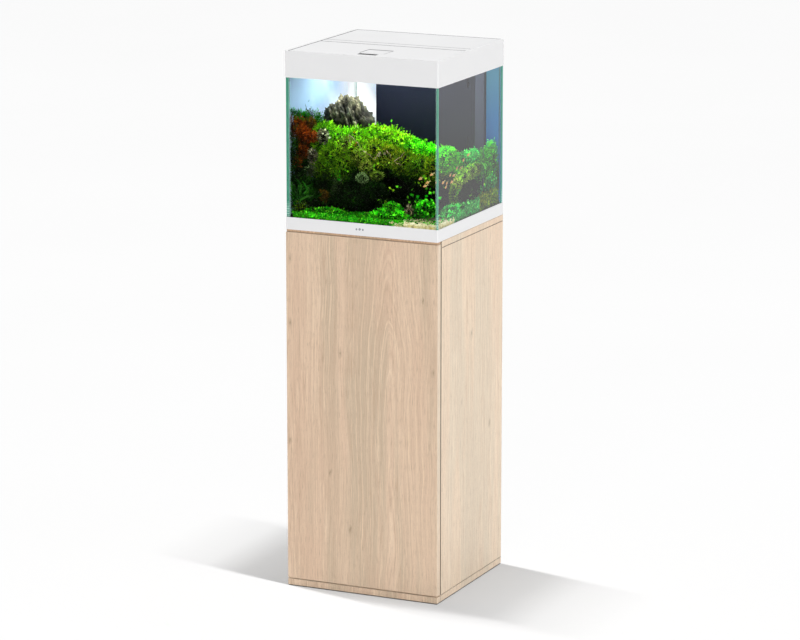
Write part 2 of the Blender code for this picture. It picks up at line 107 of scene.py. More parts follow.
def scaled(colour, k):
    return tuple(k * c for c in colour)


class Tree:
    """A small wrapper that adds nodes to one material."""

    def __init__(self, name, rough=0.5, metal=0.0):
        self.mat = bpy.data.materials.new(name)
        self.mat.use_nodes = True
        self.nt = self.mat.node_tree
        self.p = self.nt.nodes["Principled BSDF"]
        self.out = self.nt.nodes["Material Output"]
        self.shader(Roughness=rough, Metallic=metal)

    def feed(self, socket, value):
        """Link another node's output to a socket, or set the socket's own value."""
        if isinstance(value, bpy.types.NodeSocket):
            self.nt.links.new(value, socket)
        else:
            colour = socket.type == "RGBA" and isinstance(value, tuple) and len(value) == 3
            socket.default_value = (*value, 1) if colour else value

    def add(self, kind, inputs, **props):
        n = self.nt.nodes.new("ShaderNode" + kind)
        for key, value in props.items():
            setattr(n, key, value)
        for key, value in inputs.items():
            self.feed(n.inputs[key], value)
        return n

    def shader(self, **values):
        """Inputs of the Principled shader, with _ for the spaces in their names."""
        for key, value in values.items():
            self.feed(self.p.inputs[key.replace("_", " ")], value)

    def surface(self, fac, a, b):
        """End in a mix of two shaders."""
        m = self.add("MixShader", {0: fac, 1: a.outputs[0], 2: b.outputs[0]})
        self.nt.links.new(m.outputs[0], self.out.inputs["Surface"])
        return m

    def place(self):
        return self.add("TexCoord", {}).outputs["Object"]

    def xyz(self):
        return self.add("SeparateXYZ", {"Vector": self.place()}).outputs

    def noise(self, scale, detail=3.0, rough=0.55, distort=0.0, at=None, shift=(0, 0, 0)):
        scale = scale if isinstance(scale, tuple) else (scale,) * 3
        m = self.add("Mapping", {"Vector": at or self.place(), "Scale": scale, "Location": shift})
        return self.add("TexNoise", {"Vector": m.outputs["Vector"], "Scale": 1.0, "Detail": detail,
                                               "Roughness": rough, "Distortion": distort}).outputs["Fac"]

    def cells(self, scale):
        m = self.add("Mapping", {"Vector": self.place(), "Scale": scale})
        return self.add("TexVoronoi", {"Vector": m.outputs["Vector"], "Scale": 1.0}).outputs

    def ramp(self, fac, *stops):
        n = self.add("ValToRGB", {"Fac": fac})
        e = n.color_ramp.elements
        while len(e) < len(stops):
            e.new(0.5)
        for el, (pos, col) in zip(e, stops):
            el.position = pos
            el.color = (*col, 1) if isinstance(col, tuple) else (col, col, col, 1)
        return n.outputs["Color"]

    def span(self, value, low, high, to_low=0.0, to_high=1.0):
        return self.add("MapRange", {"Value": value, "From Min": low, "From Max": high,
                                               "To Min": to_low, "To Max": to_high}).outputs["Result"]

    def mix(self, fac, a, b, mode="MIX"):
        n = self.add("Mix", {0: fac, 6: a, 7: b}, data_type="RGBA", blend_type=mode)
        return n.outputs[2]

    def math(self, op, a, b=0.0, clamp=False):
        return self.add("Math", {0: a, 1: b}, operation=op, use_clamp=clamp).outputs[0]

    def times(self, a, b):
        return self.math("MULTIPLY", a, b)

    def plus(self, a, b, clamp=False):
        return self.math("ADD", a, b, clamp)

    def minus(self, a, b):
        return self.math("SUBTRACT", a, b)

    def rough(self, fac, low, high):
        self.shader(Roughness=self.span(fac, 0.0, 1.0, low, high))

    def bump(self, height, strength, distance):
        b = self.add("Bump", {"Height": height, "Strength": strength, "Distance": distance})
        self.shader(Normal=b.outputs["Normal"])


def oak(name, tones, arch, shift, joints=(), flat=False):
    """Oak foil: growth lines that close into an arch at one place across the board, hairlines, pores, knots.

    Upright boards count x + y across the grain, so one material follows both the front and the side.
    On a flat board the grain runs along x. Joint shade lines are (axis, place, half width) strips where a board meets
    its neighbour: painted shade of the gap there, with some dust."""
    arch_height, rings_per_metre, knot_share = 0.70, 66.0, 0.52
    light, mid, dark, grey, pink = tones
    t = Tree(name, 0.5)
    xyz = t.xyz()
    along = xyz["X" if flat else "Z"]
    across = t.plus(xyz["Y"] if flat else t.plus(xyz["X"], xyz["Y"]), shift)

    def field(kx, kz, detail=3.0, rough=0.55, source=None):
        v = t.add("CombineXYZ", {"X": source or across, "Y": shift * 7.0, "Z": along})
        return t.noise((kx, 1, kz), detail, rough, at=v.outputs["Vector"])

    def sway(value, reach):
        return t.times(t.minus(value, 0.5), reach)

    bend = t.plus(across, sway(field(4.5, 2.2, 2), 0.045))
    u = t.math("ABSOLUTE", t.minus(bend, arch))
    near = t.math("DIVIDE", 1.0, t.plus(1.0, t.math("POWER", t.math("DIVIDE", u, 0.05), 2.0)))
    flank = t.times(t.math("SQRT", t.plus(t.times(u, u), 0.00011)), 4.2)
    rise = t.minus(along, arch_height)
    rise = t.math("DIVIDE", rise, t.plus(1.0, t.times(t.math("ABSOLUTE", rise), 3.5)))
    growth = t.plus(t.plus(t.times(rise, near), flank), sway(field(12, 4.0, 2), 0.07))
    v = t.add("CombineXYZ", {"X": t.times(growth, rings_per_metre), "Y": shift,
                                       "Z": t.times(along, 0.9)})
    rings = t.noise(1, 3, 0.6, at=v.outputs["Vector"])
    hair, pores = field(250, 9.0, 4, 0.72, bend), field(760, 36, 3, 0.6)
    speck, patch = field(520, 420, 2, 0.6), field(7, 1.6, 2, 0.5)
    band = field(13, 0.9, 2, 0.5, bend)
    calm = t.ramp(field(24, 1.5, 2), (0.40, 0.30), (0.60, 1.0))
    c = t.mix(t.ramp(band, (0.44, 0.0), (0.56, 1.0)), mid, scaled(grey, 0.94))
    c = t.mix(t.ramp(patch, (0.46, 0.0), (0.64, 0.85)), c, pink)
    c = t.mix(t.ramp(rings, (0.28, 0.72), (0.46, 0.0)), c, dark)
    c = t.mix(t.ramp(rings, (0.53, 0.0), (0.68, 0.66)), c, light)
    c = t.mix(t.times(t.ramp(hair, (0.33, 1.0), (0.48, 0.0)), calm), c, dark)
    c = t.mix(t.times(t.ramp(hair, (0.52, 0.0), (0.67, 0.85)), calm), c, light)
    c = t.mix(t.ramp(pores, (0.30, 0.70), (0.45, 0.0)), c, scaled(dark, 0.70))
    c = t.mix(1.0, c, t.ramp(speck, (0.25, 0.90), (0.75, 1.10)), "MULTIPLY")
    # knots of uneven size, in about half of the cells
    wob = sway(field(120, 60, 2), 0.10)
    v = t.add("CombineXYZ", {"X": t.plus(t.times(bend, 8.5), wob),
                                       "Y": t.plus(t.times(along, 4.2), wob)})
    cell = t.add("TexVoronoi", {"Vector": v.outputs["Vector"], "Scale": 1.0},
                 voronoi_dimensions="2D").outputs
    red = t.add("SeparateColor", {"Color": cell["Color"]}).outputs[0]
    pick = t.math("GREATER_THAN", red, 1 - knot_share)
    size = t.plus(0.25, t.times(cell["Color"], 0.9))
    ring = t.ramp(t.math("DIVIDE", cell["Distance"], size), (0.008, 0.62), (0.030, 0.26), (0.085, 0.0))
    c = t.mix(t.times(ring, pick), c, tuple(k * f for k, f in zip(dark, (0.50, 0.50, 0.46))))
    # painted shade, with some dust, along each joint
    for axis, place, half in joints:
        off = t.math("ABSOLUTE", t.minus(xyz[axis], place))
        c = t.mix(t.times(t.math("LESS_THAN", off, half), 0.78), c, (0.115, 0.085, 0.065))
    t.shader(Base_Color=c, Specular_IOR_Level=0.35)
    t.rough(pores, 0.42, 0.60)
    t.bump(t.plus(pores, t.times(hair, 0.8)), 0.25, 0.00025)
    return t.mat


def white_plastic(name, colour, rough, shade_strips=()):
    """White moulding; shade strips are (x0, x1, y0, y1) strips on the hood's top painted grey as shade, with some
    dust, in its seams and slot.
    """
    t = Tree(name, rough)
    cloud = t.noise(7, 2)
    c = t.mix(cloud, scaled(colour, 0.985), colour)
    if shade_strips:
        xyz = t.xyz()
        top = t.math("GREATER_THAN", xyz["Z"], HOOD_TOP)
    for x0, x1, y0, y1 in shade_strips:
        inside = top
        for axis, low, high in (("X", x0, x1), ("Y", y0, y1)):
            inside = t.times(inside, t.math("GREATER_THAN", xyz[axis], low))
            inside = t.times(inside, t.math("LESS_THAN", xyz[axis], high))
        c = t.mix(inside, c, (0.34, 0.34, 0.35))
    t.shader(Base_Color=c)
    t.rough(cloud, rough - 0.04, rough + 0.05)
    t.bump(t.noise(1400, 2), 0.06, 0.00006)
    return t.mat


def finish(name, rough, scale, tone, bump, distance, detail=3, noise_rough=0.55, spread=None, fine=None,
           metal=0.0, **shader):
    """A surface that follows one noise; tone is a pair of colours or a list of stops.

    Gloss and relief follow the same noise or a finer one. The roughness strays by spread."""
    t = Tree(name, rough, metal)
    n = t.noise(scale, detail, noise_rough)
    t.shader(Base_Color=t.ramp(n, *tone) if isinstance(tone, list) else t.mix(n, *tone), **shader)
    if fine:
        n = t.noise(*fine)
    if spread:
        t.rough(n, rough - spread[0], rough + spread[1])
    t.bump(n, bump, distance)
    return t.mat


def moulded(name, colour, rough, gloss=0.5):
    """Dark moulded plastic with a fine spark-eroded grain."""
    return finish(name, rough, (18, 18, 9), (scaled(colour, 0.86), scaled(colour, 1.12)), 0.25, 0.00008,
                  spread=(0.07, 0.08), fine=(900,), Specular_IOR_Level=gloss)


def thin_glass(name, shine, rear=None):
    """A pane that is seen through unbent, with a Fresnel reflection on the face towards the eye.

    Behind the plane y = rear the glass shows its green cut edge, with a painted glow."""
    t = Tree(name)
    tint = (0.99, 0.997, 0.993)
    smear = t.noise(9, 2)
    clear = t.add("BsdfTransparent", {"Color": t.mix(smear, scaled(tint, 0.99), tint)})
    gloss = t.add("BsdfGlossy", {"Color": (1, 1, 1), "Roughness": 0.015})
    fresnel = t.add("Fresnel", {"IOR": 1.45}).outputs[0]
    outer = t.minus(1.0, t.add("NewGeometry", {}).outputs["Backfacing"])
    pane = t.surface(t.times(t.times(fresnel, outer), shine), clear, gloss)
    if rear is None:
        t.nt.nodes.remove(t.p)
    else:
        t.shader(Base_Color=t.mix(smear, srgb(58, 146, 122), srgb(40, 128, 104)),
                 Emission_Color=srgb(40, 140, 112), Emission_Strength=0.12)
        t.surface(t.times(t.math("GREATER_THAN", t.xyz()["Y"], rear), outer), pane, t.p)
    return t.mat


def tones(*colours):
    """The foil's light, middle, dark, grey and pink."""
    return [srgb(*c) for c in colours]


# The fronts of the door and the base board take a darker copy of the foil than the sides: painted shade.
FRONT_SHADED_TONES = tones((243, 217, 188), (228, 200, 173), (204, 173, 145), (214, 191, 164), (223, 191, 164))
SIDE_TONES = tones((253, 234, 209), (243, 220, 194), (224, 198, 171), (237, 219, 195), (241, 214, 188))
# A darker copy of the foil for the lip under the base frame: painted shade.
LIP_SHADED_TONES = tones((222, 190, 158), (208, 174, 142), (184, 150, 120), (192, 166, 136), (202, 166, 136))
NO_ARCH = 3.0   # metres away from every board
OAK_DOOR = oak("oak_door", FRONT_SHADED_TONES, -0.125, 0.0)
# The joint lines below paint the shade, with some dust, where boards meet.
OAK_BASE = oak("oak_base", FRONT_SHADED_TONES, NO_ARCH, 0.37, [("Z", 0.0180, 0.0011)])
OAK_SIDE = oak("oak_side", SIDE_TONES, NO_ARCH, 0.83, [("Z", 0.0183, 0.0013), ("Z", 0.8988, 0.0012),
                                                       ("Z", 0.9152, 0.0013), ("Y", -0.1780, 0.0009)])
OAK_EDGE = oak("oak_edge", SIDE_TONES, NO_ARCH, 0.59)
# Painted shade along the outer 3 mm of the side boards' front ends, by the gap at the door.
OAK_FRONT = oak("oak_front_edge", SIDE_TONES, NO_ARCH, 0.59, [("X", 0.2060, 0.0030), ("X", -0.2060, 0.0030)])
OAK_FLAT = oak("oak_flat", SIDE_TONES, NO_ARCH, 0.31, flat=True)
OAK_LIP_SHADED = oak("oak_lip_shaded", LIP_SHADED_TONES, NO_ARCH, 0.21)
HOOD_TOP = 1.3550   # everything on the hood above this height is its top
HATCH_LEFT, HATCH_RIGHT = -0.0275, 0.0405
WHITE = (0.87, 0.87, 0.875)
# Painted shade: grey strips along the seams, along the rear and left edges, and around and inside the feed hatch's
# finger slot.
HOOD = white_plastic("hood_white", WHITE, 0.36, [
    (-0.1970, 0.1970, 0.0128, 0.0168), (-0.1970, 0.1970, -0.0198, -0.0155),
    (-0.1985, 0.1985, 0.1950, 0.1985), (-0.1990, -0.1958, -0.1985, 0.1985),
    (HATCH_LEFT, HATCH_RIGHT, -0.1005, -0.0930), (HATCH_LEFT, -0.0248, -0.1505, -0.0940),
    (0.0378, HATCH_RIGHT, -0.1505, -0.0940), (HATCH_LEFT, HATCH_RIGHT, -0.1512, -0.1490)])
TRIM = white_plastic("trim_white", WHITE, 0.34)
# Dark grey for the faces inside the hood's seams: painted shade.
SEAM_SHADE = white_plastic("seam_shade_grey", (0.16, 0.16, 0.165), 0.6)
GLASS = thin_glass("pane", 0.04)
GLASS_SIDE = thin_glass("pane_side", 1.0, rear=0.1862)
NAVY = moulded("filter_navy", srgb(21, 25, 38), 0.38, 0.12)
SLATE = moulded("guard_slate", srgb(56, 61, 78), 0.42, 0.12)
BLACK = moulded("pump_black", (0.016, 0.016, 0.018), 0.4)
GREY = moulded("grey_plastic", (0.30, 0.31, 0.33), 0.45)
NICKEL = (0.70, 0.69, 0.67)
STEEL = finish("nickel_steel", 0.28, (400, 400, 40), (scaled(NICKEL, 0.9), NICKEL), 0.1, 0.00005,
               spread=(0.08, 0.1), metal=1.0)


def edge_glass():
    """Green cut edge of a pane with a painted glow, and painted highlights in pale rungs at its foot."""
    t = Tree("glass_cut_edge", 0.18)
    z = t.xyz()["Z"]
    rung_highlight = t.math("LESS_THAN", t.math("PINGPONG", z, 0.0021), 0.0008)
    c = t.mix(t.noise((30, 30, 60)), srgb(58, 140, 114), srgb(84, 156, 132))
    c = t.mix(t.times(rung_highlight, t.span(z, 0.986, 0.966)), c, srgb(205, 232, 226))
    # The emission is a painted glow.
    t.shader(Base_Color=c, Emission_Color=srgb(60, 140, 118), Emission_Strength=0.22, Coat_Weight=0.4)
    return t.mat


def foam(name, dark, light, cell):
    t = Tree(name, 0.95)
    gap = t.cells((cell,) * 3)["Distance"]
    t.shader(Base_Color=t.ramp(gap, (0.15, dark), (0.75, light)))
    t.bump(gap, 0.9, 0.0012)
    return t.mat


def silicone():
    t = Tree("clear_silicone", 0.25)
    n = t.noise(60, 2)
    t.shader(Base_Color=t.mix(n, (0.36, 0.66, 0.58), (0.52, 0.78, 0.70)))
    t.bump(n, 0.3, 0.0004)
    t.surface(0.32, t.add("BsdfTransparent", {"Color": (0.97, 1.0, 0.99)}), t.p)
    return t.mat


def sky_film():
    """Backdrop print: blue at the two far ends, white in the rear left corner, with soft cloud and a painted glow."""
    t = Tree("sky_film", 0.5)
    xyz = t.xyz()
    from_corner = t.plus(t.minus(0.2, xyz["Y"]), t.plus(xyz["X"], 0.2))
    cloud = t.noise((6, 6, 9), 3, 0.5, 0.3, shift=(0.3, 0.1, 0.2))
    fac = t.plus(t.times(from_corner, 4.2), t.times(t.minus(cloud, 0.5), 1.9), clamp=True)
    low = t.span(xyz["Z"], 1.26, 1.05)
    deep = t.mix(low, srgb(146, 188, 226), srgb(108, 152, 208))
    c = t.ramp(fac, (0.14, (0.97, 0.97, 0.97)), (0.36, srgb(204, 217, 245)), (1.0, srgb(168, 201, 240)))
    c = t.mix(t.times(fac, low), c, deep)
    # Painted light: the print glows, most near the rear left corner; behind the filter a dim blue glow stands in for
    # lamp light.
    behind_filter = t.math("GREATER_THAN", xyz["X"], 0.15)   # no lamp light reaches the print there
    c = t.mix(behind_filter, c, srgb(60, 126, 190))
    c = t.mix(1.0, c, t.span(xyz["Z"], 1.16, 1.30, 1.0, 0.62), "MULTIPLY")
    dim = t.ramp(low, (0.0, (0.05, 0.20, 0.27)), (0.5, (0.01, 0.10, 0.23)), (1.0, (0.00, 0.05, 0.21)))
    glow = t.mix(behind_filter, t.mix(fac, (0.64, 0.65, 0.68), (0.05, 0.06, 0.08)), dim)
    t.shader(Base_Color=c, Emission_Color=glow, Emission_Strength=1.0, Specular_IOR_Level=0.1)
    return t.mat


def opal():
    """Lamp lens, brighter over each chip."""
    t = Tree("led_opal", 0.4)
    chips = t.math("PINGPONG", t.xyz()["X"], 0.008)
    glow = t.ramp(t.times(chips, 125.0), (0.0, (1.0, 1.0, 0.97)), (1.0, (0.80, 0.86, 0.95)))
    t.shader(Base_Color=glow, Emission_Color=glow, Emission_Strength=2.2)
    return t.mat


def soil():
    """Dark soil, pale in the right front corner, black where it lies under the sand line."""
    t = Tree("soil_gravel", 0.9)
    xyz, grain = t.xyz(), t.cells((260, 260, 260))
    dark = t.mix(grain["Color"], (0.012, 0.010, 0.006), (0.045, 0.036, 0.022))
    pale = t.mix(grain["Color"], srgb(205, 196, 150), srgb(240, 236, 205))
    corner = t.span(t.minus(xyz["X"], xyz["Y"]), 0.22, 0.30)
    c = t.mix(t.times(corner, t.ramp(t.noise(14), (0.35, 0.0), (0.55, 1.0))), dark, pale)
    t.shader(Base_Color=t.mix(t.span(xyz["Z"], 0.9475, 0.9505), (0.004, 0.004, 0.003), c))
    t.bump(grain["Distance"], 1.0, 0.002)
    return t.mat


def stone():
    """Jagged grey stone, its colour scaled by a mesh attribute: painted highlight on its edges, painted shade in its
    clefts.
    """
    t = Tree("dragon_stone", 0.85)
    big, pits = t.noise((28, 28, 20), 6, 0.7), t.cells((110, 110, 70))["Distance"]
    c = t.ramp(big, (0.30, srgb(16, 17, 14)), (0.44, srgb(50, 52, 43)), (0.56, srgb(90, 89, 70)),
               (0.66, srgb(168, 162, 132)))
    c = t.mix(t.ramp(pits, (0.0, 0.75), (0.35, 0.0)), c, srgb(34, 34, 26))
    shade_and_highlight = t.add("Attribute", {}, attribute_name="shade_and_highlight").outputs["Fac"]
    t.shader(Base_Color=t.mix(1.0, c, t.ramp(shade_and_highlight, (0.18, 0.05), (0.44, 0.46), (0.74, 1.40)), "MULTIPLY"))
    t.bump(t.plus(big, t.times(pits, 0.6)), 0.9, 0.004)
    return t.mat


def leafy():
    """Leaf surface: each leaf's own tint from its colour attribute, with fine mottling."""
    rough = 0.62
    t = Tree("leaves", rough)
    tint = t.add("Attribute", {}, attribute_name="tint").outputs["Color"]
    n = t.noise(420)
    t.shader(Base_Color=t.mix(1.0, tint, t.ramp(n, (0.25, 0.72), (0.75, 1.15)), "MULTIPLY"),
             Specular_IOR_Level=0.06)
    t.rough(n, rough - 0.1, rough + 0.15)
    t.bump(n, 0.35, 0.0005)
    return t.mat


def fish_skin():
    """Orange flank that turns yellow-green towards the tail."""
    t = Tree("fish_scales", 0.3)
    n = t.noise(300, 2)
    c = t.mix(t.span(t.xyz()["X"], -0.004, 0.001), srgb(206, 200, 120), srgb(224, 146, 66))
    t.shader(Base_Color=t.mix(t.times(n, 0.5), c, srgb(240, 206, 150)))
    t.bump(n, 0.3, 0.0002)
    return t.mat


CUT, LEAF, STONE, SOIL = edge_glass(), leafy(), stone(), soil()
# Near-black core of the bushes: painted shade.
PAINTED_SHADE_CORE = finish("painted_shade_core", 0.95, 240, [(0.40, srgb(3, 5, 2)), (0.66, srgb(14, 22, 6)),
                                            (0.85, srgb(34, 48, 12))], 1.0, 0.004, 4, 0.7, Specular_IOR_Level=0.1)
# The pebbles glow a little: painted light on the pale sand in the corner.
PEBBLE = finish("pale_pebble", 0.7, 120, [(0.3, srgb(170, 160, 110)), (0.5, srgb(232, 226, 180)),
                                          (0.7, srgb(250, 248, 224))], 0.5, 0.0008, 4,
                Emission_Color=srgb(236, 228, 170), Emission_Strength=0.16)
BARK = finish("twig_bark", 0.8, 160, [(0.3, srgb(110, 84, 50)), (0.6, srgb(206, 182, 138)),
                                      (0.85, srgb(236, 224, 196))], 0.6, 0.0006, 4)
BACK_BOARD = finish("back_board", 0.6, 300, (srgb(214, 205, 192), srgb(232, 225, 214)), 0.25, 0.0002, 4)
RUBBER = finish("rubber_black", 0.75, 500, ((0.018,) * 3, (0.045,) * 3), 0.4, 0.0002)
FILM_BACK = finish("film_back", 0.55, 5, (srgb(196, 204, 212), srgb(214, 221, 227)), 0.1, 0.0001, fine=(300, 2))
NODE_MATERIALS = {
    OAK_DOOR: ["door"],
    OAK_SIDE: ["side_panel_left", "side_panel_right", "top_panel"],
    OAK_FLAT: ["shelf"],
    BACK_BOARD: ["back_panel"],
    HOOD: ["hood_frame", "front_flap", "feed_hatch", "centre_bar", "rear_cover", "led_housing"],
    TRIM: ["base_frame"],
    silicone(): ["silicone_beads"],
    NAVY: ["filter_housing", "filter_lid"],
    SLATE: ["filter_guard"],
    foam("filter_foam", (0.015, 0.04, 0.12), (0.10, 0.22, 0.50), 420): ["foam_coarse"],
    foam("carbon_bag", (0.004, 0.004, 0.004), (0.05, 0.05, 0.05), 300): ["carbon_cartridge"],
    foam("mat_foam", (0.01, 0.01, 0.01), (0.06, 0.06, 0.06), 700): ["support_mat"],
    BLACK: ["pump_body", "heater_body", "outlet_nozzle"],
    STEEL: ["flap_rod", "latch_strike"] + [f"shelf_pin_{i}" for i in (1, 2, 3, 4)]
    + [f"hinge_{part}_{level}" for part in ("cup", "arm", "plate") for level in ("lower", "upper")],
    GREY: ["latch_body", "latch_plunger", "pump_impeller", "heater_dial"],
    RUBBER: ["suction_cup"] + [f"glide_{i}" for i in (1, 2, 3, 4)],
    SOIL: ["substrate"],
    sky_film(): ["backdrop_film"],
    opal(): ["led_lens"],
}


def paint(node, *mats):
    slots = NODES[node].data.materials
    slots.clear()
    for m in mats:
        slots.append(m)


for mat, names in NODE_MATERIALS.items():
    for node in names:
        paint(node, mat)
# Panes: clear faces, green cut edges.
for node, axis in (("glass_front", 1), ("glass_back", 1), ("glass_left", 0), ("glass_right", 0),
                   ("glass_bottom", 2)):
    paint(node, GLASS_SIDE if node == "glass_right" else GLASS, CUT)
    for poly in NODES[node].data.polygons:
        rear_end = (node in ("glass_left", "glass_right") and poly.normal[1] > 0.9
                    or node == "glass_back" and poly.normal[0] < -0.9)
        poly.material_index = 0 if rear_end or abs(poly.normal[axis]) > 0.9 else 1
# The print of the backdrop faces the tank; its outer side is plain.
paint("backdrop_film", NODES["backdrop_film"].data.materials[0], FILM_BACK)
for poly in NODES["backdrop_film"].data.polygons:
    poly.material_index = 1 if poly.normal[0] < -0.5 or poly.normal[1] > 0.5 else 0
# Painted light and shade: the door and the base board are paler on the faces that look sideways and darker on those
# that look to the front.
for node, front, side in (("door", OAK_DOOR, OAK_EDGE), ("base_panel", OAK_BASE, OAK_SIDE)):
    paint(node, front, side, OAK_FLAT)
    for poly in NODES[node].data.polygons:
        poly.material_index = 2 if abs(poly.normal[2]) > 0.5 else 1 if abs(poly.normal[0]) > 0.5 else 0
# Board faces that lie in a joint: the top board's flat faces get plain flat grain, and the side boards' ends get a
# painted shade strip along their outer 3 mm.
for node, axis in (("top_panel", 2), ("side_panel_left", 1), ("side_panel_right", 1)):
    paint(node, OAK_SIDE, OAK_FRONT if axis == 1 else OAK_FLAT)
    for poly in NODES[node].data.polygons:
        poly.material_index = 1 if abs(poly.normal[axis]) > 0.5 else 0
# Painted shade: dark grey on the plates' side faces in the seams between the hood's plates, and on the frame's faces
# inside its rim.
for node in ("front_flap", "feed_hatch", "centre_bar", "rear_cover", "hood_frame"):
    paint(node, HOOD, SEAM_SHADE)
    for poly in NODES[node].data.polygons:
        x, y, z = poly.center
        inner = abs(x) < 0.1975 and abs(y) < 0.1983 and z > HOOD_TOP
        poly.material_index = 1 if inner and (abs(poly.normal[2]) < 0.5 or node == "hood_frame") else 0


# ---- planting
FRONT_Y, REAR_Y, BACK_Y, SIDE_X = -0.1922, 0.0925, 0.1915, 0.1984   # front pane, filter, rear pane, sides
PALETTES = {name: [srgb(*c) for c in leaf_colours] for name, leaf_colours in {
    "bright": [(104, 200, 14), (56, 150, 6), (172, 226, 40)],
    "lawn": [(34, 206, 18), (8, 136, 8), (120, 232, 44)],
    "moss": [(86, 148, 12), (36, 96, 4), (150, 186, 36)],
    "olive": [(92, 150, 12), (44, 96, 4), (168, 174, 34)],
    "lime": [(150, 190, 50), (92, 144, 20), (206, 220, 104)],
    "deep": [(30, 86, 12), (10, 46, 6), (66, 120, 20)],
    "pale": [(140, 176, 104), (84, 124, 60), (190, 214, 150)],
    "cream": [(206, 200, 150), (92, 104, 48), (244, 238, 206)],
    "vivid": [(64, 200, 18), (26, 144, 6), (140, 226, 44)],
    "mint": [(40, 190, 84), (10, 120, 50), (120, 226, 110)],
    "red": [(186, 82, 14), (106, 44, 4), (214, 126, 40)],
    "amber": [(150, 104, 24), (92, 60, 14), (196, 150, 50)],
    "fern": [(36, 136, 24), (10, 74, 12), (92, 176, 50)],
}.items()}


def ground(x, y):
    """Top of the substrate, as the CAD has it."""
    def ramp(v, a, b):
        k = np.clip((v - a) / (b - a), 0, 1)
        return k * k * (3 - 2 * k)
    return 0.9515 + 0.034 * ramp(y, -0.19, 0.16) + 0.004 * np.sin(17 * x + 1.3) * ramp(y, -0.19, -0.05)


def unit(v):
    return v / np.maximum(np.linalg.norm(v, axis=-1, keepdims=True), 1e-9)


HALVES = [(0, 2, 3), (0, 3, 1)]
LEAVES = {   # template points (across, along, lift) and faces
    "oval": ([(0, 0, 0), (-0.30, 0.45, 0.10), (0.30, 0.45, 0.10), (0, 1, -0.06)], HALVES),
    "round": ([(0, 0, 0), (-0.42, 0.40, 0.10), (0.42, 0.40, 0.10), (0, 0.95, 0.02)], HALVES),
    "needle": ([(0, 0, 0), (-0.09, 0.5, 0.03), (0.09, 0.5, 0.03), (0, 1, -0.12)], HALVES),
    "blade": ([(-0.03, 0, 0), (0.03, 0, 0), (-0.055, 0.35, 0.10), (0.055, 0.35, 0.10), (-0.04, 0.7, 0.06),
               (0.04, 0.7, 0.06), (0, 1, -0.14)], [(0, 1, 3, 2), (2, 3, 5, 4), (4, 5, 6)]),
}


def tints(p, palette, shade):
    """One colour per leaf: a blend of three greens, drifting in patches and scaled by its shade factor, which carries
    painted light and shade.
    """
    drift = np.array([(noise.noise(Vector(q) * 30), noise.noise(Vector(q) * 17 + Vector((9, 4, 2))))
                      for q in p])
    pick = rng.dirichlet((1.0, 0.8, 0.6), len(p)) @ np.array(PALETTES[palette])
    warm = 1 + drift[:, 1:2] * np.array([0.35, 0.0, 0.2])
    return pick * warm * (shade * (1 + 0.5 * drift[:, 0]) * rng.uniform(0.45, 1.6, len(p)))[:, None]


class Cloud:
    """Collects leaves and makes them one mesh piece."""

    def __init__(self):
        self.v, self.f, self.c, self.n = [], [], [], 0

    def leaves(self, kind, at, along, size, colour):
        pts, faces = LEAVES[kind]
        pts = np.array(pts)
        along = unit(along)
        side = unit(np.cross(along, unit(rng.normal(size=at.shape))))
        up = np.cross(side, along)
        v = pts[:, 0:1] * side[:, None] + pts[:, 1:2] * along[:, None] + pts[:, 2:3] * up[:, None]
        v = (at[:, None] + size[:, None, None] * v).reshape(-1, 3)
        v[:, 0] = np.clip(v[:, 0], -SIDE_X, SIDE_X)
        v[:, 1] = np.clip(v[:, 1], FRONT_Y, BACK_Y)
        self.v.append(v)
        self.c.append(np.repeat(colour, len(pts), axis=0))
        base = self.n + len(pts) * np.arange(len(at))
        for face in faces:
            self.f.append(base[:, None] + np.array(face))
        self.n += len(v)

    def make(self, name, slot, *nodes):
        me = bpy.data.meshes.new(name)
        v = np.concatenate(self.v)
        loops = np.concatenate([f.ravel() for f in self.f])
        sizes = np.concatenate([np.full(len(f), f.shape[1]) for f in self.f])
        me.vertices.add(len(v))
        me.vertices.foreach_set("co", v.astype(np.float32).ravel())
        me.loops.add(len(loops))
        me.loops.foreach_set("vertex_index", loops.astype(np.int32))
        me.polygons.add(len(sizes))
        me.polygons.foreach_set("loop_start", np.concatenate([[0], np.cumsum(sizes)[:-1]]).astype(np.int32))
        me.update(calc_edges=True)
        me.validate()
        a = me.color_attributes.new("tint", "FLOAT_COLOR", "POINT")
        a.data.foreach_set("color", np.concatenate([np.concatenate(self.c), np.ones((len(v), 1))], axis=1)
                           .astype(np.float32).ravel())
        me.materials.append(LEAF)
        piece(bpy.data.objects.new(name, me), slot, *nodes)


def metres(millimetres):
    return Vector([v / 1000 for v in millimetres])


def piece(ob, slot, *nodes):
    scene.collection.objects.link(ob)
    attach(ob, ROOT)
    if nodes:
        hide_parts(*nodes)
    return ob


def mesh_piece(name, bm, material, slot, *nodes, smooth=False):
    me = bpy.data.meshes.new(name)
    bm.to_mesh(me)
    bm.free()
    me.materials.append(material)
    if smooth:
        me.shade_smooth()
    return piece(bpy.data.objects.new(name, me), slot, *nodes)
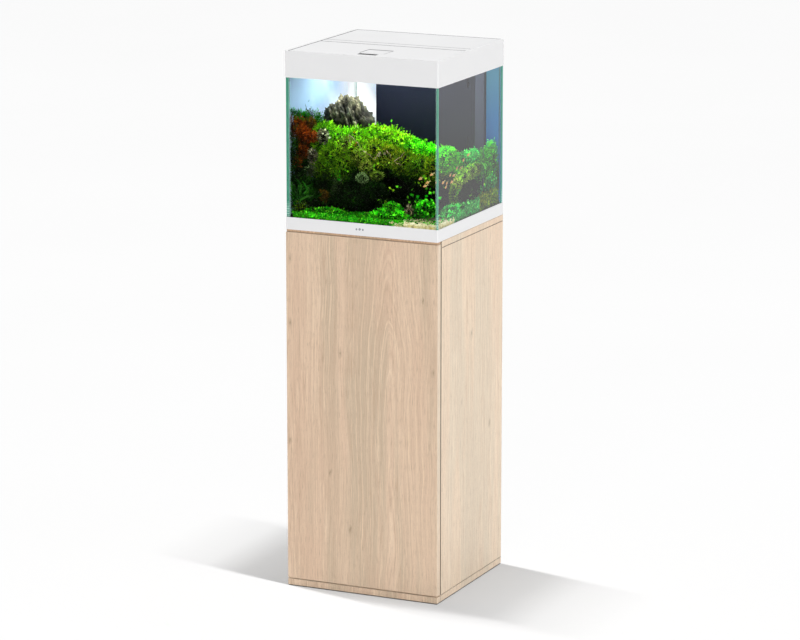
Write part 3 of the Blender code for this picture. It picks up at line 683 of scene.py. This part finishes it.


# Bushes bed by bed: (leaf kind, palette, leaf length, leaves per cm2, looseness), then for each bush its
# centre, radii and shade, a brightness factor that is partly the bush's own tone and partly painted light and
# shade. Lengths are millimetres. A loose bush is filled with leaves right through; a firm one has them on its lumpy
# skin.
BEDS = [
    # canopy of fine bright leaves, falling to the right
    (("round", "bright", 5.5, 15, 0), (-48, -12, 1118, 36, 44, 34, 1.2), (-14, -18, 1112, 34, 44, 34, 1.2),
     (20, -18, 1103, 34, 44, 34, 1.2)),
    (("round", "vivid", 5.5, 15, 0), (52, -14, 1093, 34, 46, 34, 1.2), (84, -14, 1083, 34, 46, 34, 1.15),
     (114, -14, 1072, 32, 48, 34, 1.15), (142, -2, 1062, 32, 50, 34, 1.2), (160, -45, 1078, 28, 34, 32, 1.2)),
    # olive moss under the canopy and its hanging fringe
    (("needle", "olive", 8.5, 17, 0), (-25, -72, 1100, 34, 30, 26, 1.5), (16, -74, 1090, 34, 30, 26, 1.5),
     (58, -74, 1080, 34, 30, 24, 1.25)),
    (("needle", "moss", 8.5, 17, 0), (100, -72, 1072, 34, 30, 24, 1.25)),
    (("needle", "olive", 8.5, 17, 0), (140, -72, 1068, 28, 30, 26, 1.25)),
    (("needle", "deep", 11, 10, 0), (28, -68, 1062, 50, 24, 14, 0.5), (94, -66, 1052, 50, 26, 14, 0.5)),
    (("needle", "moss", 10, 10, 0), (150, -66, 1046, 30, 26, 14, 0.5)),
    # left shoulder of the hill
    (("needle", "bright", 8, 14, 0), (-150, -88, 1126, 30, 40, 38, 1.15), (-112, -82, 1112, 34, 42, 38, 1.25),
     (-80, -66, 1114, 30, 44, 38, 1.3)),
    (("needle", "moss", 8.5, 17, 0), (-112, -105, 1084, 40, 36, 40, 1.7), (-130, -116, 1060, 34, 30, 38, 0.9),
     (-84, -106, 1062, 36, 34, 38, 1.1), (-58, -98, 1096, 30, 32, 34, 1.9)),
    # a paler streak running down to the moss ball
    (("needle", "lime", 7, 22, 0), (-82, -106, 1122, 18, 16, 15, 1.1), (-47, -116, 1093, 19, 13, 18, 1.4)),
    (("needle", "lime", 6, 22, 0), (-20, -122, 1068, 16, 11, 15, 1.2), (8, -124, 1052, 14, 9, 9, 0.9)),
    (("needle", "pale", 5, 44, 0), (-26, -138, 1046, 12, 9, 11, 1)),
    # the foot of the hill, darkened with painted shade
    (("oval", "deep", 7, 16, 1), (-96, -140, 990, 30, 12, 24, 0.55), (-52, -138, 980, 30, 12, 20, 0.5)),
    (("needle", "moss", 9, 12, 1), (-104, -132, 1030, 34, 18, 26, 0.35)),
    (("needle", "deep", 9, 16, 0), (-176, -150, 1010, 16, 20, 30, 0.7)),
    (("needle", "deep", 9, 12, 0), (-150, -150, 975, 30, 18, 20, 0.5)),
    (("oval", "deep", 7, 12, 1), (6, -132, 1010, 30, 14, 30, 0.35)),
    (("needle", "deep", 10, 12, 0), (-40, -104, 1040, 38, 34, 34, 0.4)),
    (("needle", "deep", 10, 11, 0), (-75, -118, 1008, 58, 34, 34, 0.3), (-132, -122, 1012, 40, 34, 36, 0.32)),
    (("needle", "deep", 10, 10, 0), (-20, -114, 1000, 40, 28, 26, 0.25)),
    (("needle", "deep", 11, 4, 0), (70, -20, 1016, 96, 36, 46, 0.22)),
    (("needle", "deep", 9, 7, 0), (60, -96, 968, 70, 34, 18, 0.25)),
    (("needle", "deep", 11, 6, 0), (-150, -40, 1020, 46, 70, 74, 0.4)),
    # left wall: rotala heads, green tips, filling
    (("needle", "red", 8, 30, 1), (-184, -165, 1178, 13, 13, 17, 1.1), (-176, -164, 1152, 17, 13, 19, 1),
     (-160, -152, 1143, 13, 12, 16, 1)),
    (("needle", "amber", 8, 26, 1), (-168, -150, 1176, 17, 13, 14, 0.8)),
    (("needle", "red", 8, 26, 1), (-177, -168, 1106, 14, 12, 18, 0.65)),
    (("needle", "red", 8, 30, 1), (-188, -171, 1080, 9, 11, 18, 0.8)),
    (("needle", "amber", 9, 20, 1), (-182, -150, 1130, 15, 20, 26, 0.4)),
    (("needle", "lawn", 8, 14, 1), (-186, -168, 1198, 10, 12, 10, 0.9)),
    (("needle", "lawn", 8, 12, 1), (-170, -160, 1194, 10, 12, 9, 0.8)),
    (("needle", "deep", 10, 9, 0), (-191, -120, 1110, 9, 66, 80, 0.45), (-189, -150, 1040, 10, 40, 60, 0.4)),
    (("needle", "fern", 10, 9, 0), (-190, -60, 1120, 9, 40, 60, 0.7)),
    (("needle", "red", 7, 22, 1), (-194, -182, 1165, 4, 9, 34, 0.5)),
    (("needle", "fern", 7, 20, 1), (-194, -182, 1100, 4, 9, 40, 0.35), (-194, -182, 1040, 4, 9, 40, 0.5)),
    (("needle", "lawn", 7, 20, 1), (-193, -180, 980, 5, 10, 30, 0.5), (-194, -182, 1206, 4, 8, 8, 0.9)),
    # variegated leaves and small plants in front
    (("round", "cream", 6, 14, 0), (-138, -128, 1140, 12, 8, 16, 0.95)),
    (("round", "cream", 5.5, 9, 1), (-160, -145, 1093, 14, 9, 20, 0.7)),
    (("needle", "pale", 7, 14, 1), (-163, -150, 1056, 12, 9, 14, 0.6)),
    (("needle", "pale", 8, 10, 1), (-91, -145, 1020, 12, 8, 20, 0.5)),
    (("round", "amber", 5.5, 16, 1), (-121, -156, 998, 12, 9, 15, 0.8)),
    # lawn
    (("round", "lawn", 5, 18, 0), (58, -160, 957, 44, 22, 20, 1.5), (58, -144, 974, 24, 14, 16, 1.4),
     (8, -166, 951, 40, 17, 13, 1.2), (-34, -168, 949, 40, 16, 9, 0.9), (-102, -166, 954, 44, 17, 14, 1.3)),
    (("needle", "moss", 7, 16, 0), (-182, -164, 962, 16, 19, 16, 1.3)),
    (("round", "lawn", 5, 16, 0), (-150, -160, 953, 26, 18, 12, 0.9)),
    (("round", "lawn", 6, 14, 0), (152, -144, 984, 24, 13, 19, 1.2)),
    (("round", "fern", 6, 14, 0), (124, -140, 972, 20, 13, 14, 1)),
    (("needle", "cream", 7, 16, 1), (114, -164, 982, 10, 7, 11, 0.7)),
    # right flank, seen through the right pane: canopy, feathery bank, hanging arch, hollow in painted shade, lawn;
    # high shade factors paint the light on this side
    (("needle", "moss", 8, 14, 0), (166, 8, 1054, 22, 40, 34, 1.7)),
    (("round", "vivid", 4.5, 28, 0), (174, -76, 1099, 16, 42, 26, 1.7)),
    (("needle", "mint", 6, 30, 0), (178, 22, 1077, 14, 44, 22, 1.8), (182, 64, 1067, 12, 34, 30, 1.6)),
    (("needle", "fern", 9, 60, 1), (197.6, 98, 1062, 0.8, 26, 40, 2.2)),
    (("needle", "fern", 9, 30, 1), (196, 187, 1000, 2, 5, 62, 2.2)),
    (("needle", "fern", 6, 30, 0), (184, 120, 1046, 11, 40, 42, 3.4), (187, 165, 1054, 9, 40, 44, 3.4)),
    (("needle", "moss", 6, 30, 0), (189, -68, 1010, 8, 9, 22, 2)),
    (("needle", "lime", 5, 40, 0), (189, -48, 1032, 8, 16, 17, 2.6), (189, -16, 1046, 8, 26, 16, 2.7),
     (189, 26, 1052, 8, 30, 17, 2.7), (189, 66, 1054, 8, 28, 17, 2.6)),
    (("needle", "deep", 9, 8, 0), (184, 30, 1004, 10, 66, 34, 0.3)),
    (("oval", "mint", 9, 12, 1), (190, 150, 1004, 6, 38, 22, 1.6), (190, 112, 992, 6, 26, 14, 1.3)),
    (("round", "mint", 5, 20, 0), (181, -70, 963, 15, 44, 18, 2), (181, 5, 966, 15, 40, 15, 2),
     (181, 62, 968, 14, 30, 12, 1.2)),
    (("needle", "olive", 8, 20, 0), (188, 140, 966, 10, 54, 16, 2)),
    # behind the stone and under the canopy
    (("oval", "bright", 8, 6, 0), (-30, 50, 1060, 56, 36, 74, 0.8), (60, 54, 1040, 80, 34, 60, 0.7)),
    (("needle", "deep", 11, 6, 0), (-120, 60, 1010, 70, 28, 50, 0.6)),
]
BUSHES = [(*bush[:6], *style[:4], bush[6], style[4]) for style, *bushes in BEDS for bush in bushes]
clouds = {key: Cloud() for key in ("left", "centre", "mid", "right", "corner", "carpet", "scatter")}


def group_of(x, y, z):
    if y < -0.138 and z < 0.99:
        return "carpet"
    if y > 0.1:
        return "corner"
    if x < -0.137:
        return "left"
    if y < -0.045:
        return "centre" if x < 0.0 else "right"
    return "mid" if x < 0.0 else "right"


def buried(p, skip):
    """True where a point lies well inside another firm bush."""
    inside = np.zeros(len(p), bool)
    for k, b in enumerate(BUSHES):
        if k != skip and not b[11]:
            inside |= (((p - np.array(b[0:3]) / 1000) / (np.array(b[3:6]) / 1000 * 0.86)) ** 2).sum(1) < 1
    return inside


for k, (cx, cy, cz, rx, ry, rz, kind, palette, size, density, shade, loose) in enumerate(BUSHES):
    centre, radii = np.array([cx, cy, cz]) / 1000, np.array([rx, ry, rz]) / 1000
    a, b, c = radii
    surface = 4 * math.pi * (((a * b) ** 1.6 + (a * c) ** 1.6 + (b * c) ** 1.6) / 3) ** (1 / 1.6)
    count = int(surface * 1e4 * density)
    u = unit(rng.normal(size=(count, 3)))
    lump = np.array([noise.noise(Vector(d * 2.6) + Vector(centre) * 40)
                     + 0.7 * noise.noise(Vector(d * 8.5) + Vector(centre) * 90) for d in u])
    r = (1 + 0.16 * lump) * (rng.random(count) ** 0.6 if loose else 1 + rng.normal(0, 0.09, count))
    p = centre + u * radii * r[:, None]
    keep = (p[:, 2] > ground(p[:, 0], p[:, 1])) & (np.abs(p[:, 0]) < SIDE_X - (0.002 if rx > 2 else 0))
    keep &= (p[:, 1] > FRONT_Y + 0.002) & (p[:, 1] < (0.19 if cy > 100 else REAR_Y - 0.002))
    keep &= ~buried(p, k)
    p, u, r, lump = p[keep], u[keep], r[keep], lump[keep]
    along = unit(u / radii) * 0.7 + rng.normal(0, 0.55, p.shape) + np.array([0, 0, 0.35])
    # Painted light and shade: leaves facing up are lighter, those deep in a bush and in the hollows of its skin
    # darker.
    light = shade * (0.35 + 0.85 * np.clip(0.5 + 0.6 * u[:, 2], 0, 1))
    light *= np.clip(0.25 + 1.1 * (r - 0.45), 0.15, 1.5)
    light *= np.clip(1 + 1.3 * lump, 0.35, 1.8)
    clouds[group_of(*centre)].leaves(kind, p, along, size / 1000 * rng.uniform(0.7, 1.35, len(p)),
                                     tints(p, palette, light))

# Ferns: fans of narrow blades.
FERNS = [(-0.180, -0.172, 110, 0.058, "left", 0.5), (-0.160, -0.164, 60, 0.046, "left", 0.38),
         (-0.190, -0.160, 40, 0.060, "left", 0.6), (0.186, 0.118, 18, 0.060, "corner", 1.0),
         (0.184, 0.160, 18, 0.075, "corner", 1.0), (0.176, 0.074, 26, 0.060, "right", 0.9)]
for x, y, count, reach, group, shade in FERNS:
    ang, tilt = rng.uniform(0, 2 * math.pi, count), rng.uniform(0.25, 1.3, count)
    out = np.stack([np.cos(ang) * np.cos(tilt), np.sin(ang) * np.cos(tilt), np.sin(tilt)], 1)
    at = np.array([x, y, ground(x, y) + 0.038]) + rng.normal(0, 0.004, (count, 3))
    clouds[group].leaves("blade", at, out, reach * rng.uniform(0.5, 1.1, count),
                         tints(at + out * 0.02, "fern", shade * rng.uniform(0.3, 1.7, count)))
# Thin lawn over the rest of the foreground.
count = 9000
x, y = rng.uniform(-0.195, 0.195, count), rng.uniform(-0.190, -0.135, count)
lift = 0.004 + 0.012 * np.array([abs(noise.noise(Vector((px * 34, py * 34, 2)))) for px, py in zip(x, y)])
keep = (x - 0.6 * y < 0.20) | (rng.random(count) < 0.10)
p = np.stack([x, y, ground(x, y) + lift * rng.random(count)], 1)[keep]
clouds["carpet"].leaves("round", p, rng.normal(0, 0.6, p.shape) + (0, -0.2, 0.9),
                        0.0052 * rng.uniform(0.7, 1.3, len(p)), tints(p, "lawn", 0.5 + 0.8 * rng.random(len(p))))
# Lawn that grows down the panes over the soil: along x on the front pane, along y on the right one.
for axis, count, low, group, palette in ((0, 1900, 0.9440, "carpet", "lawn"), (1, 6000, 0.9408, "right", "mint")):
    run = rng.uniform(-0.19, 0.19, count)
    x, y = (run, np.full(count, FRONT_Y)) if axis == 0 else (SIDE_X - rng.uniform(0, 0.006, count), run)
    wavy = np.array([abs(noise.noise(Vector((q * 24, axis * 7, 5)))) for q in run])
    z = rng.uniform(0, 1, count) * (ground(x, y) + 0.004 + 0.010 * wavy - low) + low
    keep = (run < 0.11) if axis == 0 else (run > -0.12)
    p = np.stack([x, y, z], 1)[keep]
    clouds[group].leaves(
        "round", p, rng.normal(0, 0.5, p.shape) + (0, 0, 0.6), 0.0055 * rng.uniform(0.7, 1.3, len(p)),
        np.where(p[:, 1:2] * axis < 0.07, tints(p, palette, 0.7 + 0.9 * rng.random(len(p))),
                 tints(p, "olive", 0.7 + 0.9 * rng.random(len(p)))))
# Larger single leaves that catch the light, in millimetres: place, spread, number, palette, length.
SPRIGS = [((152, -150, 1064), 10, 9, "bright", 9), ((134, -140, 1042), 8, 6, "bright", 9),
          ((57, -140, 1027), 7, 4, "bright", 8), ((77, -140, 1031), 9, 6, "lawn", 9),
          ((158, -140, 1028), 10, 9, "lawn", 10), ((121, -140, 1010), 12, 12, "lawn", 10),
          ((150, -150, 1004), 14, 16, "lawn", 9), ((20, -140, 1000), 12, 7, "bright", 8),
          ((30, -142, 990), 10, 5, "bright", 8), ((-85, -150, 1050), 7, 8, "lawn", 7),
          ((0, -128, 1075), 10, 7, "bright", 7), ((-70, -150, 1065), 12, 6, "bright", 6),
          ((40, -122, 1088), 16, 10, "lime", 7), ((10, -120, 1104), 5, 7, "cream", 8),
          ((186, -60, 1010), 16, 18, "lawn", 8), ((186, 20, 996), 20, 22, "bright", 7),
          ((184, 160, 1010), 20, 24, "lawn", 10), ((186, 100, 1000), 16, 16, "bright", 8),
          ((-60, -120, 1140), 12, 12, "red", 6), ((-40, -20, 1158), 10, 9, "red", 6)]
for place, spread, count, palette, size in SPRIGS:
    p = np.array(place) / 1000 + rng.normal(0, spread / 1000, (count, 3)) * (1, 0.3, 0.6)
    clouds["scatter"].leaves("round", p, rng.normal(0, 1, p.shape) + (0, -0.4, 0.3),
                             size / 1000 * rng.uniform(0.6, 1.2, count),
                             tints(p, palette, rng.uniform(0.6, 1.3, count)))
for group, name, *nodes in (("left", "thicket_left", "plants_left"), ("centre", "moss_hill", "plants_centre"),
                            ("mid", "leaves_behind", "plants_mid"), ("right", "leaf_bank_right", "plants_right"),
                            ("corner", "corner_grass", "plants_corner"),
                            ("carpet", "foreground_carpet", "carpet_front"), ("scatter", "loose_leaves")):
    clouds[group].make(name, "leaf_red" if group == "left" else "leaf_green", *nodes)

# Near-black cores that close the bushes behind their leaves: painted shade in the gaps between the leaves.
bm = bmesh.new()
for cx, cy, cz, rx, ry, rz, *_leaves, loose in BUSHES:
    centre, radii = Vector((cx, cy, cz)) / 1000, Vector((rx, ry, rz)) / 1000
    for v in bmesh.ops.create_icosphere(bm, subdivisions=3, radius=1.0)["verts"]:
        d = v.co.copy()
        lump = noise.noise(d * 2.6 + centre * 40) + 0.7 * noise.noise(d * 8.5 + centre * 90)
        r = (0.45 if loose else 0.82) * (1 + 0.16 * lump)
        v.co = centre + Vector([d[i] * radii[i] * r for i in range(3)])
        v.co.z = max(v.co.z, float(ground(v.co.x, v.co.y)) + 0.0005)
        v.co.x = min(SIDE_X - 0.001, max(-SIDE_X + 0.001, v.co.x))
        v.co.y = max(FRONT_Y + 0.002, min(v.co.y, 0.189 if cy > 100 else REAR_Y - 0.001))
mesh_piece("painted_shade_cores", bm, PAINTED_SHADE_CORE, "leaf_green", smooth=True)


# ---- stone
def build_rock():
    """A leaning block, broken by ridges, cracks and chips; a colour attribute holds painted highlight on what stands
    out and painted shade in the clefts.
    """
    centre, radii = Vector((-0.129, 0.002, 1.110)), (0.068, 0.040, 0.106)
    bm, shade_and_highlight = bmesh.new(), []
    bmesh.ops.create_icosphere(bm, subdivisions=6, radius=1.0)
    for v in bm.verts:
        d = v.co.normalized()
        k = (abs(d.x) ** 3.2 + abs(d.y) ** 3.2 + abs(d.z) ** 3.2) ** (-1 / 3.2)
        p = Vector([centre[i] + d[i] * radii[i] * k for i in range(3)])
        slope = 1 - 0.46 * max(0.0, (p.x + 0.118) / 0.055) - 0.30 * max(0.0, (-0.150 - p.x) / 0.04)
        if d.z > 0:
            p.z = centre.z + (p.z - centre.z) * slope
        q = Vector((p.x + p.z * 0.45, p.y, p.z - p.x * 0.3))
        ridge = 1 - abs(noise.noise(Vector((q.x * 42, q.y * 34, q.z * 16)))) * 2
        cell = noise.voronoi(Vector((q.x * 54, q.y * 50, q.z * 30)) + 0.35 * noise.noise_vector(q * 60))[0]
        crack = min(1.0, (cell[1] - cell[0]) * 4.5)
        chip = 1 - 2 * abs(noise.noise(Vector((q.x * 118, q.y * 96, q.z * 50))))
        fine = noise.noise(q * 110) + 0.6 * noise.noise(q * 230)
        p += d * (0.018 * (ridge - 0.6) + 0.004 * (crack - 0.8) + 0.008 * (chip - 0.5) + 0.0058 * fine)
        # painted highlight on what stands out, painted shade in the clefts
        shade_and_highlight_level = 0.22 + 0.16 * crack + 0.45 * (chip - 0.3) + 0.55 * (ridge - 0.45) + 0.4 * fine
        shade_and_highlight.append(min(1.0, max(0.0, shade_and_highlight_level)))
        p.x = max(p.x, -0.1975)   # clear of the left pane
        p.z = max(p.z, float(ground(p.x, p.y)) + 0.0005)
        v.co = p
    a = mesh_piece("dragon_stone", bm, STONE, "stone", "rock").data.color_attributes.new(
        "shade_and_highlight", "FLOAT_COLOR", "POINT")
    a.data.foreach_set("color", np.repeat(np.array(shade_and_highlight), 4).astype(np.float32))


build_rock()


def build_lip():
    """Oak lip on the cupboard top, closing the gap between the door's top edge and the tank's base frame; its darker
    foil is painted shade under the frame.
    """
    bm = bmesh.new()
    bmesh.ops.create_cube(bm, size=1.0)
    width, depth, height = 0.4100, 0.0165, 0.0058
    for v in bm.verts:
        v.co = (v.co.x * width, v.co.y * depth - 0.18885, v.co.z * height + 0.9121)
    bmesh.ops.bevel(bm, geom=bm.edges[:], offset=0.0004, segments=2, affect="EDGES")
    mesh_piece("top_lip", bm, OAK_LIP_SHADED, "oak")


build_lip()


def build_soil():
    """Soil bed that falls to the floor of the tank along the front and the right pane."""
    n, low, foot_z, half_x, half_y = 130, 0.9400, 0.9290, 0.1986, 0.1926
    bm, grid = bmesh.new(), []
    for i in range(n + 1):
        row = []
        for j in range(n + 1):
            x, y = half_x * (2 * i / n - 1), half_y * (2 * j / n - 1)
            edge = max(0.0, min(1.0, (half_x - x) / 0.012, (y + half_y) / 0.008))
            top = float(ground(x, y)) + 0.0012 * noise.noise(Vector((x * 160, y * 160, 0)))
            row.append(bm.verts.new((x, y, low + (top - low) * edge ** 0.6)))
        grid.append(row)
    for i in range(n):
        for j in range(n):
            bm.faces.new((grid[i][j], grid[i + 1][j], grid[i + 1][j + 1], grid[i][j + 1]))
    rim = grid[0] + [row[n] for row in grid[1:]] + grid[n][n - 1::-1] + [grid[i][0] for i in range(n - 1, 0, -1)]
    foot = [bm.verts.new((v.co.x, v.co.y, foot_z)) for v in rim]
    for k in range(len(rim)):
        m = (k + 1) % len(rim)
        bm.faces.new((rim[k], rim[m], foot[m], foot[k]))
    bm.faces.new(foot)
    bmesh.ops.recalc_face_normals(bm, faces=bm.faces)
    mesh_piece("soil_bed", bm, SOIL, "soil", "substrate")


build_soil()

# Pale pebbles in the right front corner.
bm = bmesh.new()
for k in range(420):
    x = rng.uniform(0.055, 0.196)
    y = rng.uniform(-0.190, -0.140) if x < 0.17 else rng.uniform(-0.190, -0.07)
    s = rng.uniform(0.0025, 0.0065)
    z = float(ground(x, y)) + s * 0.35
    if k % 3 == 1:
        x, y, z = rng.uniform(0.085, 0.195), FRONT_Y + 0.8 * s, rng.uniform(0.9425, 0.9515)
    elif k % 3 == 2:
        x, y, z = SIDE_X - 0.8 * s, rng.uniform(-0.190, -0.085), rng.uniform(0.9405, 0.9530)
    turn = Matrix.Rotation(rng.uniform(0, 3.1), 4, "Z") @ Matrix.Diagonal((s * 1.3, s, s * 0.7, 1))
    grown = bmesh.ops.create_icosphere(bm, subdivisions=2, radius=1.0)["verts"]
    for v in grown:
        v.co = v.co * (1 + 0.22 * noise.noise(v.co * 1.7 + Vector((k, 0, 0))))
    bmesh.ops.transform(bm, matrix=Matrix.Translation((x, y, z)) @ turn, verts=grown)
    for v in grown:
        v.co.x, v.co.y = min(v.co.x, SIDE_X), max(v.co.y, FRONT_Y)
mesh_piece("pebbles", bm, PEBBLE, "soil", smooth=True)


# ---- twigs
twigs = bpy.data.curves.new("twigs", "CURVE")
twigs.dimensions, twigs.bevel_depth, twigs.bevel_resolution, twigs.use_fill_caps = "3D", 1.0, 1, True
TWIGS = [((-68, -125, 1150), (26, 0, -20)), ((-44, -128, 1132), (12, 0, -16)), ((-29, -126, 1112), (30, 0, -19)),
         ((0, -126, 1094), (16, -2, 18)), ((32, -124, 1118), (14, 0, -18)), ((52, -122, 1091), (34, 0, 29)),
         ((56, -122, 1090), (18, -2, -6)), ((-60, -130, 1126), (-6, -2, 30)), ((104, -168, 975), (18, -2, 22)),
         ((118, -168, 972), (-6, -2, 26))]
for start, step in TWIGS:
    s = twigs.splines.new("POLY")
    s.points.add(6)
    for i, pt in enumerate(s.points):
        f = i / 6
        w = metres(start) + metres(step) * f + Vector(rng.normal(0, 0.0012, 3))
        pt.co = (*w, 1)
        pt.radius = 0.0009 * (1 - 0.7 * f)
twigs.materials.append(BARK)
piece(bpy.data.objects.new("twigs", twigs), "leaf_red")


# ---- fish
def fish_mesh():
    """A slim tetra about 15 mm long: lofted body, forked tail, back and belly fins."""
    bm = bmesh.new()
    rings = []
    stations = [(0.0062, 0.0002, 0.0003), (0.0052, 0.0010, 0.0014), (0.0032, 0.0015, 0.0026),
                (0.0006, 0.0016, 0.0030), (-0.0022, 0.0012, 0.0021), (-0.0046, 0.0006, 0.0010),
                (-0.0058, 0.0003, 0.0007)]
    for x, wy, hz in stations:
        rings.append([bm.verts.new((x, wy * math.cos(a), hz * math.sin(a)))
                      for a in (2 * math.pi * k / 10 for k in range(10))])
    for a, b in zip(rings, rings[1:]):
        for k in range(10):
            bm.faces.new((a[k], a[(k + 1) % 10], b[(k + 1) % 10], b[k]))
    bm.faces.new(rings[0][::-1])
    bm.faces.new(rings[-1])
    for outline in ([(-0.0054, 0), (-0.0092, 0.0026), (-0.0080, 0), (-0.0092, -0.0026)],
                    [(0.0012, 0.0026), (-0.0012, 0.0050), (-0.0020, 0.0022)],
                    [(0.0002, -0.0026), (-0.0018, -0.0046), (-0.0028, -0.0018)]):
        for side in (-1, 1):
            ring = [bm.verts.new((x, side * 0.00012, z)) for x, z in outline]
            bm.faces.new(ring if side > 0 else ring[::-1])
    bmesh.ops.recalc_face_normals(bm, faces=bm.faces)
    me = bpy.data.meshes.new("fish")
    bm.to_mesh(me)
    bm.free()
    me.materials.append(fish_skin())
    me.shade_smooth()
    return me


fish = fish_mesh()
SHOAL = [(137, -150, 1060), (168, -152, 1073), (156, -150, 1052), (152, -156, 1044), (184, -160, 1057),
         (193, 12, 1097), (193, -18, 1088), (193, -36, 1071), (193, -57, 1075), (193, -76, 1060), (193, -98, 1064),
         (193, -88, 1046), (193, -118, 1048), (193, -140, 1053), (193, -124, 1039)]
for k, place in enumerate(SHOAL, 1):
    ob = bpy.data.objects.new(f"fish_{k:02d}", fish)
    ob.scale = (0.92,) * 3
    right_pane = place[0] > 170
    ob.location = metres(place)
    ob.rotation_euler = (0, math.radians(28 + 6 * math.sin(k)), math.radians(-100 if right_pane else 200)
                         + 0.2 * math.sin(3 * k))
    piece(ob, "leaf_red")


# ---- small fittings
# Three thin discs on the base frame, in place of lettering.
bm = bmesh.new()
for dx, dz, r in ((-0.0085, 0.0, 0.0024), (0.0, 0.0006, 0.0030), (0.0085, 0.0, 0.0024)):
    bmesh.ops.create_cone(bm, cap_ends=True, segments=24, radius1=r, radius2=r, depth=0.0006,
                          matrix=Matrix.Translation((-0.004 + dx, -0.2001, 0.9305 + dz))
                          @ Matrix.Rotation(math.pi / 2, 4, "X"))
mesh_piece("bubble_mark", bm, GREY, "grey_plastic")

# ---- floor
bpy.ops.mesh.primitive_plane_add(size=90, location=(0, 10, 0))
floor = bpy.context.object
floor.name = "floor"
t = Tree("pale_floor", 0.9)
t.shader(Base_Color=t.mix(t.noise(0.5), (0.218, 0.218, 0.218), (0.226, 0.226, 0.226)))
floor.data.materials.append(t.mat)
floor_only.objects.link(floor)
